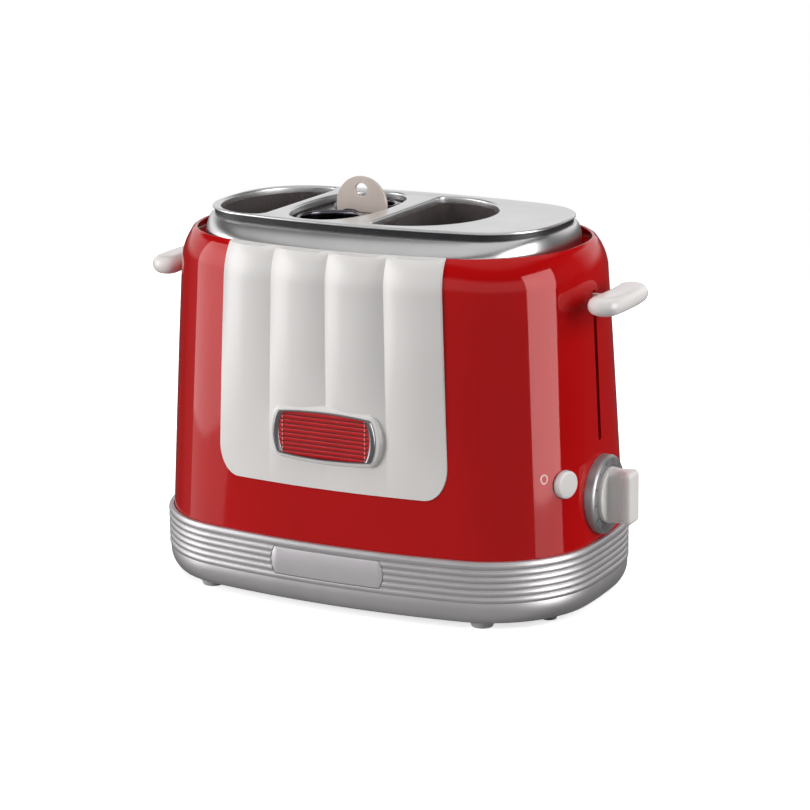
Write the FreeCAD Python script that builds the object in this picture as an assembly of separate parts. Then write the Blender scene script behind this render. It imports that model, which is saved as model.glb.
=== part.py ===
import FreeCAD
import Part
import math
import os
from collections import namedtuple

# A hot dog toaster: two bun slots, a middle slot with a lift-out sausage cage, one carriage with a
# lever at each end, a timer knob, a stop button and a crumb tray that pulls out at the rear.
# Millimetres, +Z up, the front panel faces -Y, and the origin is under the middle of the feet.

# Ribbed plinth
plinth_half_x = 140.0
plinth_half_y = 88.5
plinth_front_radius = 556.0
plinth_end_radius = 328.0
plinth_corner_centre = 21.5
plinth_bottom = 6.0
plinth_height = 35.5
plinth_wall = 2.3
plinth_tuck = 4.6
plain_band_height = 11.15
bead_count = 5
top_bead_height = 4.6
bead_depth = 0.9
band_belly_inset = 1.4
band_belly_rise = 4.7
shelf_width = 1.5
shelf_thickness = 2.0
shelf_slope = 2.5
deck_ledge = 3.0
inner_foot_rise = 7.8

# Red body
body_inset = 3.5
body_taper_x = 0.048
body_taper_y = 0.0235
body_wall = 2.2
rim_z = 212.0
rim_wall = 2.0
shoulder_height = 19.0
shoulder_drop = 5.7
rim_front_radius = 312.0
rim_end_radius = 105.0
ledge_drop = 6.0
ledge_thickness = 2.0
ledge_reach = 2.8
body_seat_depth = 3.5
seat_gap = 0.4

# Steel top cover, set inside the rim
cover_end_gap = 9.8
cover_side_gap = 2.3
cover_front_flatter = 18.0
cover_end_flatter = 25.0
cover_corner_centre = 15.0
cover_wall = 1.2
plate_rise = 12.3
plate_end_step = 2.8
plate_side_step = 17.5
plate_front_flatter = 150.0
plate_end_flatter = 20.0
plate_corner_centre = 16.5
plate_bead = 4.4
plate_bead_bulge = 2.0
flare_rise = 5.5
flare_share = 0.42
flare_lift = 0.9

# Bun slots and sausage slot, from the left end of the plate to the right
slot_end_margin = 3.0
slot_side_margin = 9.3
slot_corner = 12.0
slot_straight_share = 0.15
left_slot_width = 45.7
left_web = 6.7
middle_half_x = 25.1
middle_side_margin = 9.5
middle_corner = 19.0
right_web = 13.8
right_slot_width = 55.3
liner_wall = 0.8
fit_gap = 0.2
window_width = 5.0
window_pitch = 8.6
window_count = 4
window_foot = 14.0
window_head = 40.3

# Front panel
panel_half_x_foot = 77.9
panel_half_x_rim = 72.0
panel_rise = 35.0
panel_corner = 20.0
panel_edge = 0.2
panel_recess = 1.0
panel_proud = 0.6
flute_count = 4
flute_depth = 2.6
flute_least = 0.03
flute_start_drop = 10.3
flute_full_rise = 31.7

# Badge
badge_rise = 29.8
badge_half_x = 33.5
badge_half_z_end = 12.2
badge_half_z_mid = 14.0
badge_bow = 2.6
badge_frame = 2.4
badge_thickness = 3.4
badge_seat = 1.5
badge_rib_count = 10
badge_rib_depth = 0.5
badge_rib_share = 0.6
inlay_drop = 2.6
boss_margin = 3.0
boss_proud = 2.8
boss_root = 6.0

# Name plate, left bare
name_plate_half_x = 34.3
name_plate_rise = 12.0
name_plate_height = 18.6
name_plate_proud = 0.8
name_plate_thickness = 1.9
name_plate_bow = 2.5

# Carriage, levers and guides
lever_rim_drop = 32.0
lever_dial_gap = 15.2
lever_half_y = 24.0
lever_height = 12.5
lever_inset = 1.5
lever_depth = 18.0
lever_corner = 8.5
lever_round = 5.0
neck_half_y = 1.5
neck_height = 9.0
neck_slot_gap = 0.4
neck_root = 2.0
slot_end_gap = 2.0
beam_half_y = 2.5
beam_height = 6.0
chamber_depth = 112.3
rack_thickness = 2.0
rack_gap = 1.6
rack_rim_height = 3.0
rack_rim_wall = 1.2
rack_hole_radius = 3.6
rack_hole_pitch_x = 11.0
rack_hole_pitch_y = 12.0
rack_hole_first_y = 14.0
sausage_hole_radius = 9.0
beam_slot_gap = 2.5
slider_inset = 18.5
slider_depth = 7.4
slider_height = 24.0
slider_half_y = 6.0
stem_thickness = 3.0
guide_y = 12.0
guide_width = 4.0
guide_depth = 5.0
slide_gap = 0.3
spring_y = -12.0
spring_radius = 3.0
spring_wall = 0.8
spring_pad = 4.0
spring_pad_half_y = 4.0

# Chassis
deck_rise = 19.0
deck_thickness = 1.2
deck_opening_gap = 2.0
frame_thickness = 1.2
frame_side_gap = 48.5
frame_rim_drop = 12.0
frame_foot_width = 18.0
frame_foot_depth = 7.0
frame_window_count = 3
frame_window_half_y = 7.0
frame_window_half_z = 18.0
frame_window_inset = 11.0
hook_thickness = 2.0
board_thickness = 1.4
board_side_gap = 2.2
board_head_gap = 28.3
wire_turns = 9
wire_height = 3.0
wire_thickness = 0.5
wire_margin = 3.0
wire_foot = 14.0
wire_head = 10.0
pan_thickness = 2.4
pan_slot_count = 7
pan_slot_pitch = 20.0
pan_slot_inset = 54.5
pan_slot_half_x = 2.5
pan_slot_half_y = 14.0
foot_inset_x = 50.0
foot_inset_y = 22.5
foot_radius_low = 6.2
foot_radius_high = 8.6
fin_thickness = 3.0
fin_lift = 1.5
fin_reach = 22.0
cleat_inset_x = 21.0
cleat_inset_y = 50.5
cleat_tip_radius = 4.4
cleat_root_radius = 6.0
gland_inset = 48.0
gland_radius = 4.5
gland_bore = 3.2
gland_lift = 1.0
gland_inside = 24.0
gland_outside = 4.0

# Holding magnet and circuit board, beside the right end frame
armature_gap = 2.6
armature_width = 12.0
armature_thickness = 2.0
armature_height = 24.0
armature_reach = 19.0
armature_web = 1.5
coil_gap = 3.6
coil_width = 12.0
coil_wall = 3.0
coil_outer_y = -21.0
coil_inner_y = -12.2
coil_drop = 3.0
core_leg = 3.0
core_outer_y = -18.0
core_inner_y = -9.0
circuit_gap = 2.0
circuit_thickness = 1.6
circuit_near_y = 12.0
circuit_side_gap = 28.5
circuit_height = 93.8
part_depth = 9.0
relay_width = 16.0
relay_height = 18.0
capacitor_radius = 5.0
capacitor_pitch = 16.0
resistor_depth = 5.4
resistor_width = 26.0
resistor_height = 6.0

# Timer, knob and stop button
dial_rise = 25.0
dial_radius = 23.3
dial_proud = 4.7
dial_depth = 8.5
dial_chamfer = 1.4
dial_dish = 0.8
dial_dish_margin = 1.2
dial_hole_gap = 0.1
knob_radius = 16.3
knob_flange = 2.6
knob_height = 16.0
knob_tip_round = 3.0
grip_half_y = 7.5
grip_corner = 3.5
grip_margin = 0.4
shaft_radius = 3.0
shaft_gap = 0.3
shaft_floor = 2.0
timer_depth = 7.0
timer_radius = 12.0
button_inset = 49.9
button_rise = 39.9
button_turn = 20.0
button_radius = 8.2
button_gap = 0.3
button_proud = 2.6
button_depth = 6.5
button_round = 1.6
button_guide_depth = 12.0
button_guide_wall = 1.6
button_guide_floor = 3.0

# Crumb tray
tray_end_gap = 56.0
tray_front_gap = 26.5
tray_rear_gap = 20.0
tray_window_depth = 48.5
tray_wall = 0.8
tray_height = 8.0
tray_gap = 0.4
tray_lip_half_x = 16.0
tray_lip_proud = 0.8
tray_lip_depth = 6.0
tray_lip_height = 2.4
tray_lip_corner = 1.5

# Sausage cage
tube_end_gap = 4.5
tube_mid_gap = 6.2
tube_wall = 0.9
tube_drain_radius = 7.0
tube_window_half_width = 5.5
tube_window_foot = 10.0
tube_window_head = 12.0
collar_width = 2.0
collar_height = 1.6
cage_plate_drop = 4.5
cage_plate_thickness = 1.2
cage_gap = 1.8
cage_corner = 22.0
tab_offset = 7.5
tab_y = 4.0
tab_radius = 16.8
tab_thickness = 1.6
tab_hole_radius = 4.0
tab_hole_rise = 8.7

# Sizes that follow from those above
plinth_corner_radius = plinth_half_y - plinth_corner_centre
plinth_top = plinth_bottom + plinth_height
bead_bottom = plinth_bottom + plain_band_height
bead_pitch = (plinth_top - top_bead_height - bead_bottom) / bead_count
body_foot_z = plinth_top - body_seat_depth
rim_half_x = plinth_half_x - body_inset - body_taper_x * (rim_z - plinth_top) - shoulder_drop
rim_half_y = plinth_half_y - body_inset - body_taper_y * (rim_z - plinth_top) - shoulder_drop
ledge_top = rim_z - ledge_drop
cover_half_x = rim_half_x - cover_end_gap
cover_half_y = rim_half_y - cover_side_gap
plate_half_x = cover_half_x - plate_end_step
plate_half_y = cover_half_y - plate_side_step
plate_z = rim_z + plate_rise
plate_bottom = plate_z - cover_wall
crease_z = plate_z - plate_bead
slot_half_y = plate_half_y - slot_side_margin
left_bulge_x = slot_end_margin - plate_half_x
left_flat_x = left_bulge_x + left_slot_width
middle_x = left_flat_x + left_web + middle_half_x
middle_half_y = plate_half_y - middle_side_margin
right_flat_x = middle_x + middle_half_x + right_web
right_bulge_x = right_flat_x + right_slot_width
panel_bottom_z = plinth_top + panel_rise
badge_z = panel_bottom_z + badge_rise
flute_start_z = badge_z - flute_start_drop
flute_full_z = badge_z + flute_full_rise
name_plate_bottom = plinth_bottom + name_plate_rise
name_plate_top = name_plate_bottom + name_plate_height
deck_z = plinth_bottom + deck_rise
deck_top = deck_z + deck_thickness
pan_top = plinth_bottom + pan_thickness
dial_z = plinth_top + dial_rise
dial_face_x = plinth_half_x - body_inset - body_taper_x * dial_rise + dial_proud
dial_back_x = dial_face_x - dial_depth
knob_base_x = dial_face_x - dial_dish + slide_gap
knob_reach_x = dial_face_x + knob_height
button_y = button_inset - plinth_half_y
button_z = plinth_top + button_rise
lever_z = rim_z - lever_rim_drop
lever_travel = lever_z - dial_z - dial_radius - lever_dial_gap
lever_inner_x = plinth_half_x - lever_inset
lever_outer_x = lever_inner_x + lever_depth
rack_z = plate_z - chamber_depth
rack_top = rack_z + rack_thickness
beam_top = rack_z
beam_bottom = beam_top - beam_height
beam_slot_half_y = beam_half_y + beam_slot_gap
beam_slot_top = rack_top + slot_end_gap
slider_outer_x = plinth_half_x - slider_inset
slider_inner_x = slider_outer_x - slider_depth
frame_x = slider_inner_x - slide_gap - frame_thickness
frame_half_y = plinth_half_y - frame_side_gap
frame_top = rim_z - frame_rim_drop
board_half_y = slot_half_y - board_side_gap
board_top = plate_z - board_head_gap
spring_foot_z = beam_bottom + spring_pad
magnet_top = beam_bottom + armature_height - armature_thickness - lever_travel - slide_gap
coil_x = frame_x - coil_gap - coil_width
tray_half_x = plinth_half_x - tray_end_gap
tray_front_y = tray_front_gap - plinth_half_y
tray_bottom = pan_top + tray_gap
tray_top = tray_bottom + tray_height
gland_x = plinth_half_x - gland_inset
tube_outer = (middle_half_y - tube_end_gap - tube_mid_gap / 2) / 2
tube_y = tube_outer + tube_mid_gap / 2
tab_x = middle_x + tab_offset

# Overshoot of a cutting tool past the face that it cuts, and a hair's breadth
CLEAR = 1.0
EDGE = 0.1

V = FreeCAD.Vector
Plan = namedtuple("Plan", "half_x half_y front_r end_r corner_r")
Sector = namedtuple("Sector", "x y radius start sweep")

plinth_plan = Plan(plinth_half_x, plinth_half_y, plinth_front_radius, plinth_end_radius, plinth_corner_radius)
cover_plan = Plan(
    cover_half_x,
    cover_half_y,
    rim_front_radius + cover_front_flatter,
    rim_end_radius + cover_end_flatter,
    cover_half_y - cover_corner_centre,
)
plate_plan = Plan(
    plate_half_x,
    plate_half_y,
    cover_plan.front_r + plate_front_flatter,
    cover_plan.end_r + plate_end_flatter,
    plate_half_y - plate_corner_centre,
)


def inset(plan, depth):
    """The same oval, parallel and smaller all round by depth."""
    return Plan(*(value - depth for value in plan))


def blend(first, last, share):
    return Plan(*(a + (b - a) * share for a, b in zip(first, last)))


def body_plan(z):
    """Outside of the red body at height z: a straight taper, then a round shoulder to the rim."""
    height = min(z, rim_z) - plinth_top
    foot = inset(plinth_plan, body_inset)
    share = height / (rim_z - plinth_top)
    drop = 0.0
    over = min(z, rim_z) - (rim_z - shoulder_height)
    if over > 0:
        radius = (shoulder_height ** 2 + shoulder_drop ** 2) / (2 * shoulder_drop)
        drop = radius - math.sqrt(radius ** 2 - over ** 2)
    return Plan(
        foot.half_x - body_taper_x * height - drop,
        foot.half_y - body_taper_y * height - drop,
        foot.front_r + (rim_front_radius - foot.front_r) * share,
        foot.end_r + (rim_end_radius - foot.end_r) * share,
        foot.corner_r,
    )


def plan_joints(plan):
    """Corner arc centre, and where that arc meets the front arc and the end arc, in the +X +Y quarter."""
    front_y = plan.half_y - plan.front_r
    end_x = plan.half_x - plan.end_r
    to_front = plan.front_r - plan.corner_r
    to_end = plan.end_r - plan.corner_r
    gap = math.hypot(end_x, front_y)
    along = (to_front ** 2 - to_end ** 2 + gap ** 2) / (2 * gap)
    across = math.sqrt(to_front ** 2 - along ** 2)
    ux, uy = end_x / gap, -front_y / gap
    options = [(ux * along - side * uy * across, front_y + uy * along + side * ux * across) for side in (1, -1)]
    corner_x, corner_y = max(options, key=lambda point: point[0] + point[1])
    meet_front = (corner_x * plan.front_r / to_front, front_y + (corner_y - front_y) * plan.front_r / to_front)
    meet_end = (end_x + (corner_x - end_x) * plan.end_r / to_end, corner_y * plan.end_r / to_end)
    return (corner_x, corner_y), meet_front, meet_end


def plan_wire(plan, z):
    """Closed oval of eight tangent arcs."""
    corner, meet_front, meet_end = plan_joints(plan)
    dx, dy = meet_front[0] - corner[0], meet_front[1] - corner[1]
    ex, ey = meet_end[0] - corner[0], meet_end[1] - corner[1]
    mx, my = dx + ex, dy + ey
    scale = plan.corner_r / math.hypot(mx, my)
    mid = (corner[0] + mx * scale, corner[1] + my * scale)

    def at(point, sx, sy):
        return V(point[0] * sx, point[1] * sy, z)

    edges = []
    for sx, sy in ((1, 1), (-1, 1), (-1, -1), (1, -1)):
        first, last = (meet_end, meet_front) if sx * sy > 0 else (meet_front, meet_end)
        edges.append(Part.Arc(at(first, sx, sy), at(mid, sx, sy), at(last, sx, sy)).toShape())
        if sx * sy > 0:
            edges.append(Part.Arc(at(last, sx, sy), V(0, plan.half_y * sy, z), at(last, -sx, sy)).toShape())
        else:
            edges.append(Part.Arc(at(last, sx, sy), V(plan.half_x * sx, 0, z), at(last, sx, -sy)).toShape())
    return Part.Wire(edges)


def plan_prism(plan, low, high):
    return Part.Face(plan_wire(plan, low)).extrude(V(0, 0, high - low))


def plan_loft(levels, ruled=False):
    return Part.makeLoft([plan_wire(plan, z) for plan, z in levels], True, ruled)


def plan_sectors(plan):
    """The eight arcs of the oval as centre, radius, start angle and sweep, in degrees."""
    corner, meet_front, meet_end = plan_joints(plan)
    front_y = plan.half_y - plan.front_r
    end_x = plan.half_x - plan.end_r
    front_angle = math.degrees(math.atan2(meet_front[1] - front_y, meet_front[0]))
    end_angle = math.degrees(math.atan2(meet_end[1], meet_end[0] - end_x))
    sectors = [
        Sector(0, front_y, plan.front_r, front_angle, 180 - 2 * front_angle),
        Sector(0, -front_y, plan.front_r, front_angle + 180, 180 - 2 * front_angle),
        Sector(end_x, 0, plan.end_r, -end_angle, 2 * end_angle),
        Sector(-end_x, 0, plan.end_r, 180 - end_angle, 2 * end_angle),
    ]
    turn = front_angle - end_angle
    corners = ((1, 1, end_angle), (-1, 1, 180 - front_angle), (-1, -1, 180 + end_angle), (1, -1, -front_angle))
    for sx, sy, start in corners:
        sectors.append(Sector(corner[0] * sx, corner[1] * sy, plan.corner_r, start, turn))
    return sectors


def sector_solid(sector, profile):
    """Turn profile(radius), a face in the XZ plane, through one arc of an oval."""
    face = profile(sector.radius)
    solid = face.revolve(V(0, 0, 0), V(0, 0, 1), sector.sweep)
    solid.rotate(V(0, 0, 0), V(0, 0, 1), sector.start)
    solid.translate(V(sector.x, sector.y, 0))
    return solid


def plan_ring(plan, profile):
    solids = [sector_solid(sector, profile) for sector in plan_sectors(plan)]
    return solids[0].multiFuse(solids[1:]).removeSplitter()


def face_from(edges):
    return Part.Face(Part.Wire(Part.sortEdges(edges)[0]))


def polygon_edges(points):
    return [Part.LineSegment(a, b).toShape() for a, b in zip(points, points[1:])]


def box(x0, x1, y0, y1, z0, z1):
    return Part.makeBox(x1 - x0, y1 - y0, z1 - z0, V(x0, y0, z0))


def post(x, y, radius, z0, z1):
    return Part.makeCylinder(radius, z1 - z0, V(x, y, z0), V(0, 0, 1))


def rod_x(y, z, radius, x0, x1):
    return Part.makeCylinder(radius, x1 - x0, V(x0, y, z), V(1, 0, 0))


def rod_y(x, z, radius, y0, y1):
    return Part.makeCylinder(radius, y1 - y0, V(x, y0, z), V(0, 1, 0))


def fuse(shapes):
    return shapes[0].multiFuse(shapes[1:]).removeSplitter()


def cut(shape, tools):
    for tool in tools:
        shape = shape.cut(tool)
    return shape


def mirror_x(shape):
    return shape.mirror(V(0, 0, 0), V(1, 0, 0))


def rounded_wire(points, radii, place):
    """Closed outline of straight runs with round corners; place turns (a, b) into a 3-D point."""
    edges = []
    count = len(points)
    ends = []
    for i in range(count):
        px, py = points[i]
        ax, ay = points[i - 1]
        bx, by = points[(i + 1) % count]
        la, lb = math.hypot(ax - px, ay - py), math.hypot(bx - px, by - py)
        ua, ub = ((ax - px) / la, (ay - py) / la), ((bx - px) / lb, (by - py) / lb)
        half = math.acos(max(-1.0, min(1.0, ua[0] * ub[0] + ua[1] * ub[1]))) / 2
        reach = radii[i] / math.tan(half)
        first = (px + ua[0] * reach, py + ua[1] * reach)
        last = (px + ub[0] * reach, py + ub[1] * reach)
        if radii[i] > 0:
            mx, my = ua[0] + ub[0], ua[1] + ub[1]
            out = radii[i] / math.sin(half) - radii[i]
            norm = math.hypot(mx, my)
            middle = (px + mx / norm * out, py + my / norm * out)
            edges.append(Part.Arc(place(*first), place(*middle), place(*last)).toShape())
        ends.append((first, last))
    for i in range(count):
        a, b = place(*ends[i - 1][1]), place(*ends[i][0])
        if a.distanceToPoint(b) > 1e-6:
            edges.append(Part.LineSegment(a, b).toShape())
    return Part.Wire(Part.sortEdges(edges)[0])


def rounded_box(x0, x1, y0, y1, z0, z1, radius):
    """Block with round vertical edges."""
    corners = [(x0, y0), (x1, y0), (x1, y1), (x0, y1)]
    wire = rounded_wire(corners, [radius] * 4, lambda a, b: V(a, b, z0))
    return Part.Face(wire).extrude(V(0, 0, z1 - z0))


def bun_wire(flat_x, bulge_x, half_y, corner, grow, z):
    """D-shaped slot outline: a half ellipse on one side and a flat with round corners on the other."""
    side = 1 if bulge_x > flat_x else -1
    flat = flat_x - side * grow
    far = bulge_x + side * grow
    half = half_y + grow
    radius = corner + grow
    start = flat + side * radius
    run = slot_straight_share * abs(bulge_x - flat_x)
    middle = start + side * run
    ellipse = Part.Ellipse(V(middle, half, z), V(far, 0, z), V(middle, 0, z))
    arc = Part.ArcOfEllipse(ellipse, 0, math.pi)
    if (arc.toShape().CenterOfMass.x - middle) * side < 0:
        arc = Part.ArcOfEllipse(ellipse, math.pi, 2 * math.pi)
    slant = math.sqrt(0.5) * radius
    edges = [arc.toShape()]
    for sy in (1, -1):
        edges.append(Part.LineSegment(V(middle, half * sy, z), V(start, half * sy, z)).toShape())
        centre = V(start, (half - radius) * sy, z)
        corner_mid = centre + V(-side * slant, slant * sy, 0)
        edges.append(Part.Arc(V(start, half * sy, z), corner_mid, V(flat, (half - radius) * sy, z)).toShape())
    edges.append(Part.LineSegment(V(flat, half - radius, z), V(flat, radius - half, z)).toShape())
    return Part.Wire(Part.sortEdges(edges)[0])


def middle_wire(grow, z):
    hx, hy, r = middle_half_x + grow, middle_half_y + grow, middle_corner + grow
    corners = [(middle_x - hx, -hy), (middle_x + hx, -hy), (middle_x + hx, hy), (middle_x - hx, hy)]
    return rounded_wire(corners, [r] * 4, lambda a, b: V(a, b, z))


def left_wire(grow, z):
    return bun_wire(left_flat_x, left_bulge_x, slot_half_y, slot_corner, grow, z)


def right_wire(grow, z):
    return bun_wire(right_flat_x, right_bulge_x, slot_half_y, slot_corner, grow, z)


def slot_prism(wire, grow, low, high):
    return Part.Face(wire(grow, low)).extrude(V(0, 0, high - low))


SLOT_WIRES = {"left": left_wire, "middle": middle_wire, "right": right_wire}


def plinth_profile(edge):
    """Plinth wall section: tucked-in foot, plain band, round beads, and inner ledges for body and deck."""
    valley = edge - bead_depth
    inner = edge - bead_depth - plinth_wall
    seat = edge - body_inset + seat_gap
    shelf = edge - body_inset - body_wall - shelf_width
    foot_out = V(edge - plinth_tuck, 0, plinth_bottom)
    foot_in = V(edge - plinth_tuck - plinth_wall, 0, plinth_bottom)
    band_low = V(valley, 0, bead_bottom)
    belly = V(edge - band_belly_inset, 0, plinth_bottom + band_belly_rise)
    edges = [Part.Arc(foot_out, belly, band_low).toShape()]
    heights = [bead_bottom + bead_pitch * i for i in range(bead_count + 1)] + [plinth_top]
    for low, high in zip(heights, heights[1:]):
        middle = V(edge, 0, (low + high) / 2)
        edges.append(Part.Arc(V(valley, 0, low), middle, V(valley, 0, high)).toShape())
    inner_points = [
        V(valley, 0, plinth_top),
        V(seat, 0, plinth_top),
        V(seat, 0, body_foot_z),
        V(shelf, 0, body_foot_z),
        V(shelf, 0, body_foot_z - shelf_thickness),
        V(inner, 0, body_foot_z - shelf_thickness - shelf_slope),
        V(inner, 0, deck_z),
        V(inner - deck_ledge, 0, deck_z),
        V(inner, 0, deck_z - deck_ledge),
        V(inner, 0, plinth_bottom + inner_foot_rise),
        foot_in,
        foot_out,
    ]
    edges += polygon_edges(inner_points)
    return face_from(edges)


def make_name_plate():
    """Bare curved plate let into the beads, with its ends bowed outward."""
    outer = plinth_front_radius + name_plate_proud
    reach = math.degrees(math.asin((name_plate_half_x + name_plate_bow + CLEAR) / plinth_front_radius))
    sector = Sector(0, plinth_front_radius - plinth_half_y, plinth_front_radius, 270 - reach, 2 * reach)

    def profile(radius):
        inner_x = radius + name_plate_proud - name_plate_thickness
        low, high = name_plate_bottom, name_plate_top
        outer_x = radius + name_plate_proud
        corners = [(inner_x, low), (outer_x, low), (outer_x, high), (inner_x, high), (inner_x, low)]
        return Part.Face(Part.makePolygon([V(x, 0, z) for x, z in corners]))

    band = sector_solid(sector, profile)
    middle_z = (name_plate_bottom + name_plate_top) / 2
    half = name_plate_half_x
    low, high = name_plate_bottom - CLEAR, name_plate_top + CLEAR
    y = -outer - CLEAR
    edges = [
        Part.LineSegment(V(-half, y, low), V(half, y, low)).toShape(),
        Part.Arc(V(half, y, low), V(half + name_plate_bow, y, middle_z), V(half, y, high)).toShape(),
        Part.LineSegment(V(half, y, high), V(-half, y, high)).toShape(),
        Part.Arc(V(-half, y, high), V(-half - name_plate_bow, y, middle_z), V(-half, y, low)).toShape(),
    ]
    outline = face_from(edges).extrude(V(0, outer, 0))
    return band.common(outline)


def make_base_pan():
    """Bottom plate with air slots, and the four cord cleats at its ends."""
    edge = plinth_tuck + plinth_wall + fit_gap
    pan = plan_prism(inset(plinth_plan, edge), plinth_bottom, pan_top)
    slots = []
    for i in range(pan_slot_count):
        x = pan_slot_pitch * (i - (pan_slot_count - 1) / 2)
        for side in (1, -1):
            y = side * (plinth_half_y - pan_slot_inset)
            slots.append(rounded_box(
                x - pan_slot_half_x, x + pan_slot_half_x, y - pan_slot_half_y, y + pan_slot_half_y,
                0, pan_top + pan_thickness, pan_slot_half_x - EDGE,
            ))
    pan = cut(pan, slots)
    cleats = []
    for sx in (1, -1):
        for sy in (1, -1):
            centre = V((plinth_half_x - cleat_inset_x) * sx, (plinth_half_y - cleat_inset_y) * sy, 0)
            height = pan_top - pan_thickness / 2
            cleats.append(Part.makeCone(cleat_tip_radius, cleat_root_radius, height, centre, V(0, 0, 1)))
    return fuse([pan] + cleats)


def make_feet():
    """Four tapered feet, each with a sloping fin behind it."""
    solids = []
    half = fin_thickness / 2
    for sx in (1, -1):
        for sy in (1, -1):
            x, y = (plinth_half_x - foot_inset_x) * sx, (plinth_half_y - foot_inset_y) * sy
            foot = Part.makeCone(foot_radius_low, foot_radius_high, plinth_bottom, V(x, y, 0), V(0, 0, 1))
            root = V(x - half, y, plinth_bottom)
            fin_points = [root, V(x - half, y, fin_lift), V(x - half, y - fin_reach * sy, plinth_bottom), root]
            fin = Part.Face(Part.makePolygon(fin_points)).extrude(V(fin_thickness, 0, 0))
            solids.append(fuse([foot, fin]))
    return Part.makeCompound(solids)


def body_solid(low, high, depth):
    """Solid body outline from low to high, inset by depth: a straight taper and a round shoulder."""
    shoulder_z = rim_z - shoulder_height
    steps = [shoulder_z + (high - shoulder_z) * i / 4 for i in range(5)]
    straight = plan_loft([(inset(body_plan(z), depth), z) for z in (low, shoulder_z)], ruled=True)
    shoulder = plan_loft([(inset(body_plan(z), depth), z) for z in steps])
    return fuse([straight, shoulder])


def button_axis():
    angle = math.radians(button_turn)
    return V(math.cos(angle), -math.sin(angle), 0)


def button_seat():
    """Where the button's axis leaves the body."""
    plan = body_plan(button_z)
    low, high = plan.half_x - plan.corner_r, plan.half_x
    corner, meet_front, meet_end = plan_joints(plan)
    for step in range(40):
        x = (low + high) / 2
        y = abs(button_y)
        if y > meet_end[1]:
            inside = math.hypot(x - corner[0], y - corner[1]) < plan.corner_r
        else:
            inside = math.hypot(x - plan.half_x + plan.end_r, y) < plan.end_r
        low, high = (x, high) if inside else (low, x)
    return V(low, button_y, button_z)


def make_body_shell(panel_seat):
    """Thin red shell, open below, with a ledge under the rim for the steel cover."""
    outer = body_solid(body_foot_z, rim_z, 0)
    inner = body_solid(body_foot_z - CLEAR, ledge_top - ledge_thickness, body_wall)
    moat_levels = [(inset(body_plan(z), rim_wall), z) for z in (ledge_top, (ledge_top + rim_z) / 2, rim_z)]
    moat_levels.append((inset(body_plan(rim_z), rim_wall), rim_z + CLEAR))
    moat = plan_loft(moat_levels, ruled=True)
    hatch = plan_prism(inset(cover_plan, ledge_reach), ledge_top - 3 * ledge_thickness, ledge_top + CLEAR)
    slots = []
    slot_low = lever_z - lever_travel - neck_height / 2 - slot_end_gap
    slot_high = lever_z + neck_height / 2 + slot_end_gap
    half = neck_half_y + neck_slot_gap
    for sx in (1, -1):
        x0, x1 = sorted((sx * (frame_x + frame_thickness), sx * plinth_half_x))
        slots.append(box(x0, x1, -half, half, slot_low + half, slot_high - half))
        slots.append(rod_x(0, slot_low + half, half, x0, x1))
        slots.append(rod_x(0, slot_high - half, half, x0, x1))
    dial_hole = rod_x(0, dial_z, dial_radius + dial_hole_gap, frame_x, plinth_half_x)
    seat = button_seat()
    start = seat - button_axis() * button_guide_depth
    button_hole = Part.makeCylinder(button_radius + button_gap, 2 * button_guide_depth, start, button_axis())
    return cut(outer, [inner, moat, hatch, dial_hole, button_hole] + slots + [panel_seat])


def panel_half_x(z):
    share = (z - panel_bottom_z) / (rim_z - panel_bottom_z)
    return panel_half_x_foot + (panel_half_x_rim - panel_half_x_foot) * share


def front_point(z, x, proud):
    """Point on the front of the body at height z, standing out by proud."""
    plan = body_plan(z)
    radius = plan.front_r + proud
    return V(x, plan.front_r - plan.half_y - math.sqrt(radius ** 2 - x ** 2), z)


def flute_share(z):
    """Flutes swell from nothing at flute_start_z to their full depth at flute_full_z."""
    share = min(1.0, max(flute_least, (z - flute_start_z) / (flute_full_z - flute_start_z)))
    return share * share * (3 - 2 * share)


def flute_wire(z):
    half = panel_half_x(z)
    valleys = [half - 2 * half * i / flute_count for i in range(flute_count + 1)]
    crest = panel_proud + flute_depth * flute_share(z)
    depth = panel_recess + CLEAR
    back_left, back_right = front_point(z, -half, -depth), front_point(z, half, -depth)
    edges = [Part.Arc(back_left, front_point(z, 0, -depth), back_right).toShape()]
    edges.append(Part.LineSegment(back_right, front_point(z, half, panel_proud)).toShape())
    for start, end in zip(valleys, valleys[1:]):
        a, b = front_point(z, start, panel_proud), front_point(z, end, panel_proud)
        edges.append(Part.Arc(a, front_point(z, (start + end) / 2, crest), b).toShape())
    edges.append(Part.LineSegment(front_point(z, -half, panel_proud), back_left).toShape())
    return Part.Wire(edges)


def badge_outline(grow, y):
    """Barrel outline: bowed top and bottom, bowed ends."""
    hx, end, mid = badge_half_x + grow, badge_half_z_end + grow, badge_half_z_mid + grow
    side = hx - badge_bow
    edges = [
        Part.Arc(V(-side, y, end), V(0, y, mid), V(side, y, end)).toShape(),
        Part.Arc(V(side, y, end), V(hx, y, 0), V(side, y, -end)).toShape(),
        Part.Arc(V(side, y, -end), V(0, y, -mid), V(-side, y, -end)).toShape(),
        Part.Arc(V(-side, y, -end), V(-hx, y, 0), V(-side, y, end)).toShape(),
    ]
    return Part.Wire(edges)


def badge_prism(grow, back, front):
    """Barrel block from y = -back to y = -front, about the badge's own centre."""
    return Part.Face(badge_outline(grow, -back)).extrude(V(0, back - front, 0))


def place_badge(shape):
    """Lean a badge piece back with the body's taper and put it at its place."""
    lean = math.degrees(math.atan(body_taper_y))
    shape.rotate(V(0, 0, 0), V(1, 0, 0), -lean)
    shape.translate(V(0, -body_plan(badge_z).half_y, badge_z))
    return shape


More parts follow.
